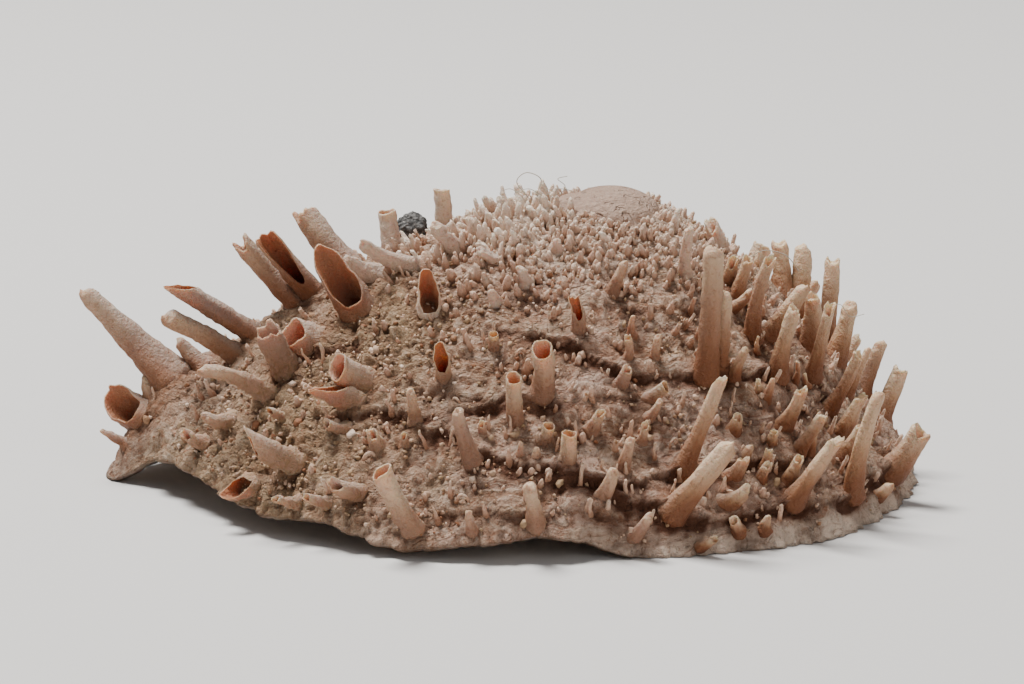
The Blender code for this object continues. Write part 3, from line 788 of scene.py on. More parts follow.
class Recipe:
    """A new material and the nodes that its surface is made of."""

    def __init__(self, name):
        self.material = bpy.data.materials.new(name)
        self.material.use_nodes = True
        self.nodes = self.material.node_tree.nodes
        self.links = self.material.node_tree.links
        self.shader = self.nodes["Principled BSDF"]
        self.place = Value(self, self.nodes.new("ShaderNodeTexCoord").outputs["Object"])

    def add(self, kind, settings, inputs, output=0):
        """Add a node of a type: its settings first, then the values or links of its sockets."""
        node = self.nodes.new(kind)
        for key, value in settings.items():
            setattr(node, key, value)
        for key, value in inputs.items():
            self.feed(node.inputs[key], value)
        return Value(self, node.outputs[output])

    def feed(self, socket, value):
        """Link a value to a socket, or set the socket to a number or colour."""
        if isinstance(value, Value):
            self.links.new(value.socket, socket)
        elif socket.type == "RGBA":
            socket.default_value = (*value, 1.0)
        else:
            socket.default_value = value

    def noise(self, size, detail=3.0, roughness=0.55, place=None):
        """Fractal noise of 0 to 1 with features of about a size in metres."""
        inputs = {"Vector": place or self.place, "Scale": 1 / size, "Detail": detail,
                  "Roughness": roughness}
        return self.add("ShaderNodeTexNoise", {}, inputs)

    def cells(self, size):
        """Distance to the nearest of scattered points, about a size apart in metres."""
        return self.add("ShaderNodeTexVoronoi", {}, {"Vector": self.place, "Scale": 1 / size})

    def attribute(self, name):
        """A mesh attribute."""
        return self.add("ShaderNodeAttribute", {"attribute_name": name}, {}, "Fac")

    def mix(self, factor, first, second):
        """Blend two colours by a factor."""
        return self.add("ShaderNodeMix", {"data_type": "RGBA"}, {0: factor, 6: first, 7: second}, 2)

    def sine(self, angle):
        """Sine of an angle in radians."""
        return self.add("ShaderNodeMath", {"operation": "SINE"}, {0: angle})

    def drawn_out(self, grow):
        """Coordinates for noise drawn out along the growth lines: a small share of the place, plus
        the growth coordinate in metres."""
        scale = {0: self.place, "Scale": 0.15}
        shrunk = self.add("ShaderNodeVectorMath", {"operation": "SCALE"}, scale)
        shift = self.add("ShaderNodeCombineXYZ", {}, {0: grow * 0.016})
        return self.add("ShaderNodeVectorMath", {"operation": "ADD"}, {0: shrunk, 1: shift})

    def bump(self, height, distance, strength=1.0):
        """A normal that stands for a height in units of a distance in metres."""
        inputs = {"Height": height, "Distance": distance, "Strength": strength}
        return self.add("ShaderNodeBump", {}, inputs)

    def finish(self, **inputs):
        """Feed the shader's sockets, named with underscores for spaces."""
        for key, value in inputs.items():
            self.feed(self.shader.inputs[key.replace("_", " ")], value)
        return self.material


def saucer_material():
    """Chalky carbonate discoloured by sand: pinkish tan with mauve growth bands, a painted highlight
    on raised grains, darker brown where the grain is low, painted shade in the crevices, below the
    ledges and round the feet of spines, khaki where sand has caught, pale on the thin flange and
    the smooth knob, and porcelain underneath."""
    colours = bpy.context.scene.spiny_shell_colours
    r = Recipe("shell_chalk")
    under, crevice_shade, sand = r.attribute("under"), r.attribute("crevice_shade"), r.attribute("sand")
    flange, knob, grow, high = (r.attribute(key) for key in ("flange", "knob", "grow", "high"))
    khaki = r.noise(0.0031, 3.0).between(0.48, 0.66) * 0.4
    patches = r.noise(0.0028, 4.0)
    flecks = r.noise(0.00026, 4.0, 0.7)
    fine = r.noise(0.00011, 3.0, 0.7)
    drawn = r.drawn_out(grow)
    bands = r.noise(0.0007, 3.0, place=drawn)
    threads = r.noise(0.00022, 3.0, 0.6, place=drawn)
    lines = r.sine(grow * 300 + patches * 14) * (1 - knob)
    base = r.mix(patches.between(0.35, 0.65), colours.chalk, colours.tan)
    base = r.mix(bands.between(0.45, 0.7) * 0.5, base, colours.mauve)
    base = r.mix((0.5 - bands).between(0.0, 0.2) * 0.55, base, colours.brown)
    base = r.mix(khaki, base, colours.khaki)
    base = r.mix(high * 0.65, base, colours.pale)
    base = r.mix((sand * 0.9 + patches * 0.1).clip(), base, colours.sand)
    base = r.mix(flange * 0.92, base, colours.pale)
    base = r.mix(threads.between(0.52, 0.66) * (0.45 - sand * 0.3), base, colours.pale)
    base = r.mix((0.48 - threads).between(0.0, 0.14) * (0.5 - sand * 0.3), base, colours.brown)
    # Painted highlight: pale where the fine grain of the bump stands high
    base = r.mix(flecks.between(0.53, 0.66) * (0.5 - sand * 0.3), base, colours.pale)
    # Darker brown where the fine grain of the bump is low
    low_grain_dark = (0.47 - flecks).between(0.0, 0.12) * (0.7 - flange * 0.35 - sand * 0.25)
    base = r.mix(low_grain_dark, base, colours.brown)
    # Painted shade: brown round the feet of the spines
    base = r.mix((r.attribute("feet") * (bands * 1.5 + 0.4)).clip(), base, colours.brown)
    # Painted shade: umber in the crevices, below the ledges and in the low places of the grain
    base = r.mix((crevice_shade * (flecks * 1.4 + 0.6)).clip() * 0.95, base, colours.umber)
    base = r.mix(knob * (0.95 - flecks.between(0.35, 0.5) * 0.15), base, colours.knob)
    porcelain = r.mix(r.noise(0.004, 2.0).between(0.35, 0.7), colours.porcelain, colours.pale)
    base = r.mix(under, base, porcelain)
    pits = (0.42 - r.noise(0.0005, 2.0)).between(0.0, 0.1) * (1 + knob * 0.6)
    clods = r.noise(0.0007, 2.0) * sand * 2.2
    lumps = flecks * 1.2 + fine * 0.7 + r.cells(0.00028) * -0.5 + threads * 1.0 - pits * 0.7 + clods
    relief = (1 - under) * (lumps * (1 - knob * 0.7) * (1 - flange * 0.3) + lines * 0.05 * (1 - sand))
    return r.finish(
        Base_Color=base,
        Roughness=0.80 - under * 0.40 - knob * 0.18,
        Normal=r.bump(relief, 0.00042),
        Subsurface_Weight=0.08,
        Subsurface_Radius=(1.0, 0.5, 0.3),
        Subsurface_Scale=0.0005,
        Specular_IOR_Level=0.3,
    )


def spine_material():
    """Translucent horn-like spines: painted shade in brown at the foot and on the undersides, amber or
    mauve along the shaft, paler at the tip, dusted grey on their upper sides, and orange-brown
    inside, with painted shade that darkens it with depth."""
    colours = bpy.context.scene.spiny_shell_colours
    r = Recipe("shell_spine")
    along, inside, tint = r.attribute("along"), r.attribute("inside"), r.attribute("tint")
    upward, warmth, streak = r.attribute("upward"), r.attribute("warmth"), r.attribute("streak")
    blotch = r.noise(0.0009, 4.0)
    flecks = r.noise(0.00022, 4.0, 0.65)
    warm = (warmth * 0.8 + tint * 0.5 + blotch * 0.5 - 0.4).clip()
    shaft = r.mix(warm, colours.mauve, colours.amber)
    shaft = r.mix(streak.between(0.45, 0.9) * 0.35, shaft, colours.brown)
    paler = (along + tint * 0.3).between(0.5, 1.1) * (warmth * 0.75 + 0.25)
    shaft = r.mix(paler, shaft, colours.horn)
    # Painted shade: brown on the undersides and at the foot, umber where both meet
    under = (0 - upward).between(-0.2, 0.8) * (0.5 + warmth * 0.25)
    foot = (1 - along.between(0.0, 0.65)) * 0.9
    shade_brown = r.mix((foot * under * 1.1).clip(), colours.brown, colours.umber)
    shaft = r.mix((foot + under).clip() * (1 - r.attribute("high") * 0.7), shaft, shade_brown)
    shaft = r.mix(r.attribute("high") * 0.75, shaft, colours.pale)
    dusted = upward.between(0.0, 0.9) * (blotch + 0.25) * (1.05 - warmth * 0.65)
    dust = r.mix(warmth, colours.ash, colours.dust)
    shaft = r.mix((dusted * (flecks + 0.5)).clip(), shaft, dust)
    shaft = r.mix((0.46 - flecks).between(0.0, 0.14) * 0.35, shaft, colours.brown)
    sandy = r.mix(flecks.between(0.4, 0.6), colours.tan, colours.sand)
    shaft = r.mix((r.attribute("crust") * (blotch + 0.5)).clip(), shaft, sandy)
    deep = r.mix(inside.between(0.3, 0.65), colours.peach, colours.orange)
    # Painted shade: the inside turns deep brown further down the hollow
    deep = r.mix(inside.between(0.6, 1.0), deep, colours.deep)
    colour = r.mix(inside.between(0.0, 0.3), shaft, deep)
    relief = flecks * 1.0 + r.noise(0.00010, 2.0) * 0.5 + r.attribute("crust") * flecks * 1.5
    return r.finish(
        Base_Color=colour,
        Roughness=0.68 - inside * 0.12,
        Normal=r.bump(relief, 0.00016),
        Subsurface_Weight=0.30,
        Subsurface_Radius=(1.0, 0.45, 0.22),
        Subsurface_Scale=0.0006,
        Specular_IOR_Level=0.35,
    )


def nodule_material():
    """Small nodules and hooks: painted shade in brown at their feet, tan sides and whitish worn tips,
    each of its own tint.
    """
    colours = bpy.context.scene.spiny_shell_colours
    r = Recipe("shell_nodule")
    along, tint = r.attribute("along"), r.attribute("tint")
    flecks = r.noise(0.00020, 3.0, 0.65)
    body = r.mix((tint * 0.7 + flecks * 0.3).clip(), colours.tan, colours.chalk)
    body = r.mix(r.attribute("warmth") * tint, body, colours.amber)
    high = r.attribute("high")
    body = r.mix(high * 0.95, body, colours.pale)
    tips = along.between(0.25, 1.0) * (0.25 + tint * 0.4 + high * 0.3)
    body = r.mix(tips.clip(), body, r.mix(high, colours.pale, colours.worn))
    # Painted shade: brown at the feet, where nodules and hooks meet the shell, less high on the ridge
    body = r.mix((1 - along.between(0.0, 0.5)) * (0.65 - high * 0.35), body, colours.brown)
    body = r.mix((0.46 - flecks).between(0.0, 0.14) * 0.4, body, colours.brown)
    return r.finish(
        Base_Color=body,
        Roughness=0.72,
        Normal=r.bump(flecks + r.noise(0.0001, 2.0) * 0.4, 0.00012),
        Subsurface_Weight=0.15,
        Subsurface_Radius=(1.0, 0.5, 0.3),
        Subsurface_Scale=0.0004,
        Specular_IOR_Level=0.3,
    )


def sand_material():
    """Sand grains stuck on the shell: mostly khaki, some umber, a few of quartz white."""
    colours = bpy.context.scene.spiny_shell_colours
    r = Recipe("shell_sand")
    tint = r.attribute("tint")
    body = r.mix(tint.between(0.0, 0.35), colours.brown, colours.sand)
    body = r.mix(tint.between(0.4, 0.9) * 0.6, body, colours.chalk)
    body = r.mix(tint.between(0.93, 0.97) * 0.8, body, colours.pale)
    return r.finish(
        Base_Color=body,
        Roughness=0.7,
        Normal=r.bump(r.noise(0.00008, 2.0), 0.00005),
        Specular_IOR_Level=0.35,
    )


def cup_material():
    """The inner cup: thin glossy porcelain with growth rings and a brownish bloom at its lip."""
    colours = bpy.context.scene.spiny_shell_colours
    r = Recipe("shell_porcelain")
    rings = r.sine(r.attribute("run") * 9.0)
    bloom = r.noise(0.003, 3.0)
    base = r.mix(bloom.between(0.35, 0.7), colours.porcelain, colours.pale)
    base = r.mix((rings * 0.12 + 0.1).clip(), base, colours.tan)
    return r.finish(
        Base_Color=base,
        Roughness=0.32 + bloom * 0.12,
        Normal=r.bump(rings * 0.3 + r.noise(0.0004, 2.0) * 0.2, 0.00005, 0.6),
        Subsurface_Weight=0.35,
        Subsurface_Radius=(1.0, 0.6, 0.4),
        Subsurface_Scale=0.0008,
    )


def grit_material():
    """Rough dark grey grit with paler mineral flecks."""
    r = Recipe("grit_stone")
    speckle = r.noise(0.0002, 3.0)
    base = r.mix(speckle.between(0.4, 0.62), (0.035, 0.033, 0.032), (0.14, 0.135, 0.13))
    base = r.mix(r.noise(0.00012, 2.0).between(0.66, 0.74), base, (0.4, 0.37, 0.33))
    return r.finish(
        Base_Color=base,
        Roughness=0.82,
        Normal=r.bump(speckle + r.cells(0.00018) * 0.7, 0.00012),
    )


def lint_material():
    """Pale, slightly shiny fibres."""
    r = Recipe("lint_fibre")
    base = r.mix(r.noise(0.0008, 2.0), (0.34, 0.285, 0.21), (0.54, 0.49, 0.41))
    return r.finish(Base_Color=base, Roughness=0.5)


def floor_material():
    """The plain pale floor."""
    return Recipe("floor_plain").finish(Base_Color=(0.62, 0.61, 0.60), Roughness=0.8)


# ------------------------------------------------------------------------------------ settings


def colour_property(name, description, default):
    """A colour that a user may change."""
    return FloatVectorProperty(
        name=name, description=description, default=default, size=3, min=0.0, max=1.0, subtype="COLOR"
    )


def length_property(name, description, default, low, high):
    """A length in metres that a user may change."""
    return FloatProperty(
        name=name, description=description, default=default, min=low, max=high, unit="LENGTH"
    )


def count_property(name, description, default, high):
    """A number of things that a user may change."""
    return IntProperty(name=name, description=description, default=default, min=0, max=high)


class ShellSizes(bpy.types.PropertyGroup):
    """Sizes of the shell."""

    height: length_property("Height", "Ground to apex, without the knob", 0.0118, 0.005, 0.03)
    knob: length_property("Knob", "Height of the smooth knob on top", 0.0005, 0.0, 0.002)
    wall: length_property("Wall", "Thickness of the saucer", 0.0008, 0.0003, 0.002)
    rim_edge: length_property("Rim edge", "Thickness of the saucer's edge", 0.0002, 0.0001, 0.001)
    nodules: count_property("Nodules", "Number of small nodules on the cone", 2400, 4000)
    sand_grains: count_property("Sand grains", "Number of stuck sand grains", 4200, 6000)


class ShellColours(bpy.types.PropertyGroup):
    """Colours of the shell."""

    chalk: colour_property("Chalk", "Pinkish ground colour of the saucer", (0.65, 0.435, 0.33))
    tan: colour_property("Tan", "Browner patches of the saucer", (0.49, 0.305, 0.205))
    sand: colour_property("Sand", "Khaki of the caught sand", (0.39, 0.258, 0.148))
    khaki: colour_property("Khaki", "Yellowish dust on the saucer", (0.52, 0.40, 0.26))
    pale: colour_property("Pale", "Worn tips, lips and flange", (0.78, 0.61, 0.485))
    # Brown is the shell's own darker colour in bands, streaks and sand grains, and also painted shade
    # round the feet of spines and nodules and on spine undersides
    brown: colour_property("Brown", "Stains and the feet of the spines", (0.25, 0.098, 0.043))
    # Umber is painted shade in the crevices, below the ledges, and where a spine's foot and underside
    # meet
    umber: colour_property("Umber", "Dirt in the crevices", (0.115, 0.038, 0.015))
    knob: colour_property("Knob", "The smooth knob", (0.36, 0.248, 0.19))
    amber: colour_property("Amber", "Warm spines", (0.52, 0.29, 0.14))
    horn: colour_property("Horn", "Paler ends of the spines", (0.82, 0.62, 0.42))
    mauve: colour_property("Mauve", "Greyish pink spines and growth bands", (0.30, 0.19, 0.158))
    dust: colour_property("Dust", "Dust on the tops of the warm spines", (0.66, 0.535, 0.42))
    ash: colour_property("Ash", "Greyer dust on the left spines", (0.385, 0.315, 0.28))
    peach: colour_property("Peach", "Inside of the front tubes, at the lip", (0.58, 0.35, 0.245))
    orange: colour_property("Orange", "Inside of the spines, near the lip", (0.36, 0.150, 0.068))
    # Deep brown is painted shade deep in the spines' hollows
    deep: colour_property("Deep brown", "Inside of the spines, deep down", (0.070, 0.016, 0.007))
    worn: colour_property("Worn", "Whitish tips of the teeth high on the ridge", (0.90, 0.80, 0.69))
    porcelain: colour_property("Porcelain", "Underside and inner cup", (0.60, 0.47, 0.38))


# ----------------------------------------------------------------------------------- operators


class MakeSaucer(bpy.types.Operator):
    """Make the saucer, from its rough outside over the rim to its smooth underside"""

    bl_idname = "spiny_shell.saucer"
    bl_label = "Saucer"

    def execute(self, context):
        columns, rows, under_rows = 560, 146, 26
        sizes = context.scene.spiny_shell_sizes
        # Columns stand closer together at the front than at the back
        even = np.linspace(0, 360, columns, endpoint=False)[None]
        azimuth = even - 20 * np.cos(np.radians(even))
        down = np.linspace(0.006, 1, rows)[:, None] ** 0.92
        azimuths, reaches = np.broadcast_arrays(azimuth, down)
        outside, attributes = saucer_relief(azimuths, reaches)
        outside = self.scallop(outside, azimuths, reaches)
        edge = self.underside(azimuths, reaches[-1:], outside[-1:], 0.5 * sizes.rim_edge / MM)
        back = np.linspace(1, 0.01, under_rows)[:, None]
        azimuths_in, reaches_in = np.broadcast_arrays(azimuth, back)
        smooth_side = saucer(azimuths_in, reaches_in)
        smooth_side = self.scallop(smooth_side, azimuths_in, reaches_in)
        thickness = sizes.rim_edge + (sizes.wall - sizes.rim_edge) * smooth((1 - reaches_in) / 0.12)
        inside = self.underside(azimuths_in, reaches_in, smooth_side, thickness / MM)
        points = np.concatenate([outside, edge, inside])[None]
        points[..., 2] = np.maximum(points[..., 2], 0.0)
        plain = np.zeros((under_rows + 1, columns))
        values = {key: np.concatenate([value, plain]) for key, value in attributes.items()}
        values["under"] = np.concatenate([np.zeros((rows + 1, columns)), plain[1:] + 1])
        values = {key: value[None, ..., None] for key, value in values.items()}
        new_grid_piece("shell_saucer", points, values, saucer_material(), NODE, flip=True)
        return {"FINISHED"}

    def scallop(self, points, azimuths, reaches):
        """Push the rim in and out: fine scallops on the right flange, worn chips elsewhere."""
        angle = np.radians(azimuths)
        outward = np.stack([np.cos(angle), np.sin(angle), 0 * angle], -1)
        edge = smooth((reaches - 0.94) / 0.06)
        right = near_angle(azimuths, FLANGE_SIDE, 70)
        ring = np.stack([np.cos(angle) * 15, np.sin(angle) * 15, 0 * angle], -1)
        push = right * 0.08 * np.cos(angle * 150 + 2 * ripple(ring, 4.0, 41))
        push = push + 0.16 * ripple(ring, 1.8, 42) * (1 - 0.4 * right) - 0.1
        push = push - 0.13 * np.abs(ripple(ring, 0.9, 43)) - 0.06 * np.abs(ripple(ring, 0.45, 44))
        return points + outward * (push * edge)[..., None]

    def underside(self, azimuths, reaches, points, thickness):
        """Points moved inwards along the smooth saucer's normals by a thickness."""
        normal = saucer_normal(azimuths[: len(points)], np.broadcast_to(reaches, points.shape[:-1]))
        return points - normal * np.asarray(thickness)[..., None]


class MakeCup(bpy.types.Operator):
    """Make the thin inner cup that hangs under the apex"""

    bl_idname = "spiny_shell.cup"
    bl_label = "Inner cup"

    def execute(self, context):
        columns, steps, wall = 120, 44, 0.45
        profile = np.array(CUP_PROFILE)
        along = np.linspace(0.04, 1, steps)
        knots = np.linspace(0, 1, len(profile))
        radius = np.interp(along, knots, profile[:, 0])
        height = np.interp(along, knots, profile[:, 1])
        for _ in range(6):
            radius[1:-1] = (radius[:-2] + 2 * radius[1:-1] + radius[2:]) / 4
            height[1:-1] = (height[:-2] + 2 * height[1:-1] + height[2:]) / 4
        slope = unit(np.stack([np.gradient(radius), np.gradient(height)], -1))
        thin = wall * (1 - 0.55 * smooth((along - 0.75) / 0.25))
        inner_radius = np.maximum(radius + slope[:, 1] * thin, 0.02)
        inner_height = height - slope[:, 0] * thin
        radii = np.concatenate([radius, inner_radius[::-1]])
        heights = np.concatenate([height, inner_height[::-1]])
        runs = np.concatenate([along, along[::-1]])
        angle = full_turn(columns)
        lean = (profile[0, 1] - heights) / (profile[0, 1] - profile[-1, 1])
        circle = np.stack([np.cos(angle), np.sin(angle)], -1)
        flat = radii[:, None, None] * circle[None]
        flat = flat * (1 + 0.02 * np.cos(3 * angle + 1))[None, :, None]
        centre = np.array(APEX) + np.array(CENTRE_SHIFT) + lean[:, None] * np.array(CUP_LEAN)
        wave = 0.10 * np.sin(5 * angle) + 0.08 * np.sin(9 * angle + 2)
        rise = heights[:, None] + wave[None] * smooth((runs[:, None] - 0.6) / 0.4)
        points = np.concatenate([flat + centre[:, None], rise[..., None]], -1)[None]
        run = np.broadcast_to(runs[:, None], rise.shape)[None, ..., None] * 10
        new_grid_piece("shell_cup", points, {"run": run}, cup_material(), NODE, flip=True)
        return {"FINISHED"}


class MakeSpines(bpy.types.Operator):
    """Make the large spines, one piece for each side of the shell"""

    bl_idname = "spiny_shell.spines"
    bl_label = "Large spines"

    def execute(self, context):
        material = spine_material()
        groups = (
            ("shell_spines_left", LEFT_SPINES, 101, 0.25, 0.0),
            ("shell_spines_ridge", RIDGE_SPINES, 102, 0.25, 0.8),
            ("shell_spines_front", FRONT_SPINES, 103, 0.45, 0.15),
            ("shell_spines_right", RIGHT_SPINES, 104, 0.75, 0.0),
            ("shell_spines_back", back_spines(), 105, 0.45, 0.0),
        )
        for name, rows, seed, warmth, high in groups:
            points, faces, values = spine_batches(rows, seed, 26, 26)
            points[:, 2] = np.maximum(points[:, 2], 0)
            attributes = spine_attributes(values, warmth, high)
            new_piece(name, points, faces, attributes, material, NODE)
        return {"FINISHED"}


def scatter(count, seed, weight):
    """Azimuths and reaches scattered evenly over the saucer's area, then thinned by a weight."""
    rng = np.random.default_rng(seed)
    azimuth = rng.uniform(0, 360, count * 12)
    reach = np.sqrt(rng.uniform(0.004, 1, count * 12))
    keep = rng.uniform(0, 1, count * 12) < weight(azimuth, reach)
    return azimuth[keep][:count], reach[keep][:count], rng


def scattered_rows(count, seed, weight, spans, kinds, growth=(1, 1)):
    """Rows for scattered spines: length, width, rise and turn drawn evenly from their spans, a
    kind of tip, and the length then multiplied by a share that changes from apex to rim."""
    azimuth, reach, rng = scatter(count, seed, weight)
    count = len(azimuth)
    length, width, rise, turn = (rng.uniform(*span, count) for span in spans)
    tips = rng.choice(kinds, count)
    length = length * (growth[0] + (growth[1] - growth[0]) * reach)
    return list(zip(azimuth, reach, length, width, rise, turn, tips, ["front"] * count))


class MakeSmallSpines(bpy.types.Operator):
    """Make the small tubes and hooks between the large spines"""

    bl_idname = "spiny_shell.small_spines"
    bl_label = "Small spines"

    def execute(self, context):
        spans = ((0.25, 0.95), (0.15, 0.32), (50, 80), (-30, 30))
        tips = ["closed", "blunt", "cone", "cone", "hook", "pit", "notch"]
        rows = scattered_rows(420, 201, self.weight, spans, tips, (0.7, 1.1))
        points, faces, values = spine_batches(rows, 202, 11, 11)
        new_piece("shell_small_spines", points, faces, spine_attributes(values, 0.3),
                  nodule_material(), NODE)
        return {"FINISHED"}

    def weight(self, azimuth, reach):
        """More on the front and right, fewer on the sandy left front and near the apex."""
        side = 0.35 + 0.65 * near_angle(azimuth, 315, 90) + 0.3 * near_angle(azimuth, 90, 80)
        return side * smooth((reach - 0.25) / 0.25) * smooth((0.97 - reach) / 0.05)


class MakeRidgeTeeth(bpy.types.Operator):
    """Make the whitish teeth along the ridge to the left of the knob"""

    bl_idname = "spiny_shell.ridge_teeth"
    bl_label = "Ridge teeth"

    def execute(self, context):
        spans = ((0.5, 1.0), (0.32, 0.52), (45, 75), (-40, 40))
        rows = scattered_rows(110, 251, self.weight, spans, ["blunt", "quill", "cone", "tusk"])
        points, faces, values = spine_batches(rows, 252, 12, 12)
        new_piece("shell_ridge_teeth", points, faces, spine_attributes(values, 0.0, 1.0),
                  nodule_material(), NODE)
        return {"FINISHED"}

    def weight(self, azimuth, reach):
        """Along the skyline left of the knob, and a few round it."""
        ridge = smooth((reach - 0.10) / 0.06) * smooth((0.52 - reach) / 0.12)
        ridge = ridge * near_angle(azimuth, 188, 52)
        ring = 0.12 * smooth((0.35 - reach) / 0.1) * smooth((reach - 0.12) / 0.06)
        return ridge + ring


class MakeNodules(bpy.types.Operator):
    """Make the nodules that cover the cone, thickest near the apex"""

    bl_idname = "spiny_shell.nodules"
    bl_label = "Nodules"

    def execute(self, context):
        sizes = context.scene.spiny_shell_sizes
        azimuth, reach, rng = scatter(sizes.nodules, 301, self.weight)
        count = len(azimuth)
        columns, steps = 7, 5
        foot, normal = saucer(azimuth, reach), saucer_normal(azimuth, reach)
        along = unit(0.7 * normal + rng.normal(0, 0.20, (count, 3)) + np.array([0.0, -0.1, 0.6]))
        side = perpendicular(np.broadcast_to([0.3, 0.2, 1.0], along.shape), along)
        across = np.cross(along, side)
        big = rng.uniform(0, 1, count) ** 2.2
        ridge = near_angle(azimuth, 205, 60) * smooth((0.62 - reach) / 0.2)
        radius = (0.075 + 0.10 * big) * (1 + 0.35 * ridge)
        tall = radius * rng.uniform(1.5, 4.0, count) * (1 + 0.3 * ridge)
        step = np.linspace(0, 1, steps)
        height = -0.10 + (tall[:, None] + 0.10) * np.sin(step * 1.45)[None]
        waist = np.cos(step * 1.45) ** 0.95
        angle = full_turn(columns)
        lumps = 1 + 0.23 * rng.normal(size=(count, steps, columns))
        spread = radius[:, None, None] * waist[None, :, None] * np.clip(lumps, 0.6, 1.5)
        bend = 0.4 * radius[:, None] * step**2 * rng.normal(size=(count, 1))
        points = foot[:, None, None] + along[:, None, None] * height[..., None, None]
        points = points + side[:, None, None] * (spread * np.cos(angle) + bend[..., None])[..., None]
        points = points + across[:, None, None] * (spread * np.sin(angle))[..., None]
        tint = rng.uniform(0, 1, (count, 1, 1))
        packed, faces, data = pack_spines(points, step[None, :, None], tint=tint)
        whiteness = smooth((0.5 - reach) / 0.3) * (0.35 + 0.65 * near_angle(azimuth, 200, 75))
        whiteness = np.repeat(whiteness, steps * columns + 2)
        new_piece("shell_nodules", packed, faces, spine_attributes(data, 0.1, whiteness),
                  nodule_material(), NODE)
        return {"FINISHED"}

    def weight(self, azimuth, reach):
        """Dense from the knob to almost half way down, sparse towards the rim."""
        below_knob = 1 - knob_dome(saucer(azimuth, reach))[1]
        high = 0.08 + 0.92 * smooth((0.52 - reach) / 0.22)
        return below_knob * high * (0.7 + 0.3 * near_angle(azimuth, 270, 110)) * (reach < 0.96)


class MakeSand(bpy.types.Operator):
    """Make the sand grains stuck to the left front and scattered elsewhere"""

    bl_idname = "spiny_shell.sand"
    bl_label = "Sand crust"

    def execute(self, context):
        sizes = context.scene.spiny_shell_sizes
        azimuth, reach, rng = scatter(sizes.sand_grains, 401, self.weight)
        count = len(azimuth)
        columns, steps = 5, 3
        foot, normal = saucer(azimuth, reach), saucer_normal(azimuth, reach)
        centre = foot + normal * rng.uniform(0.0, 0.10, (count, 1))
        along = unit(normal + rng.normal(0, 0.5, (count, 3)))
        side = perpendicular(rng.normal(size=(count, 3)), along)
        across = np.cross(along, side)
        size = 0.035 + 0.075 * rng.uniform(0, 1, (count, 1, 1)) ** 2
        size = size + 0.11 * (rng.uniform(0, 1, (count, 1, 1)) > 0.97)
        radius = size * np.clip(1 + 0.3 * rng.normal(size=(count, steps, columns)), 0.5, 1.7)
        latitude = np.linspace(-0.9, 0.9, steps)[None, :, None]
        angle = full_turn(columns)
        points = centre[:, None, None] + along[:, None, None] * (radius * np.sin(latitude))[..., None]
        points = points + side[:, None, None] * (radius * np.cos(latitude) * np.cos(angle))[..., None]
        points = points + across[:, None, None] * (radius * np.cos(latitude) * np.sin(angle))[..., None]
        poles = along * radius.mean(axis=(1, 2))[:, None]
        packed = with_poles(points, centre - poles, centre + poles)
        tint = np.repeat(rng.uniform(0, 1, count), columns * steps + 2)
        faces = grid_faces(count, steps, columns)
        new_piece("shell_sand_crust", packed, faces, {"tint": tint}, sand_material(), NODE)
        return {"FINISHED"}

    def weight(self, azimuth, reach):
        """Most on the left front, some everywhere below the knob."""
        patch = near_angle(azimuth, 222, 60) * smooth((reach - 0.3) / 0.2)
        return (0.25 + 0.75 * patch) * (1 - knob_dome(saucer(azimuth, reach))[1]) * (reach < 0.975)


class MakeGrit(bpy.types.Operator):
    """Make the coarse grain wedged behind the ridge"""

    bl_idname = "spiny_shell.grit"
    bl_label = "Grit grain"

    def execute(self, context):
        low, high = (np.array(corner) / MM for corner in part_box("grit_grain"))
        columns, rings = 72, 48
        latitude = np.linspace(-1.53, 1.53, rings)[:, None]
        angle = full_turn(columns)[None]
        ball = np.stack([np.cos(latitude) * np.cos(angle), np.cos(latitude) * np.sin(angle),
                         np.sin(latitude) + 0 * angle], -1)
        swell = 1 + 0.10 * ripple(ball, 1.4, 501) + 0.05 * ripple(ball, 0.5, 502)
        swell = swell + 0.025 * ripple(ball, 0.22, 503)
        points = ((low + high) / 2 + ball * swell[..., None] * (high - low) / 2 * 0.96)[None]
        new_grid_piece("grit_rough_grain", points, {}, grit_material(), "grit_grain")
        return {"FINISHED"}


def smooth_path(knots, steps):
    """Points on a curve through knots: a cubic between each two, with Catmull-Rom slopes."""
    knots = np.asarray(knots, float)
    padded = np.concatenate([2 * knots[:1] - knots[1:2], knots, 2 * knots[-1:] - knots[-2:-1]])
    place = np.linspace(0, len(knots) - 1, steps)
    index = np.minimum(place.astype(int), len(knots) - 2)
    t = (place - index)[:, None]
    p0, p1, p2, p3 = (padded[index + k] for k in range(4))
    return 0.5 * (2 * p1 + (p2 - p0) * t + (2 * p0 - 5 * p1 + 4 * p2 - p3) * t**2
                  + (3 * p1 - p0 - 3 * p2 + p3) * t**3)


def swept(paths, radii, columns):
    """Round rods along paths: rings of each rod's radius, square to its path."""
    angle = full_turn(columns)
    tangent = unit(np.gradient(paths, axis=1))
    side = perpendicular(np.broadcast_to([0.2, 1.0, 0.1], paths.shape), tangent)
    across = np.cross(tangent, side)
    ring = side[:, :, None] * np.cos(angle)[:, None] + across[:, :, None] * np.sin(angle)[:, None]
    return paths[:, :, None] + ring * np.asarray(radii)[:, None, None, None]


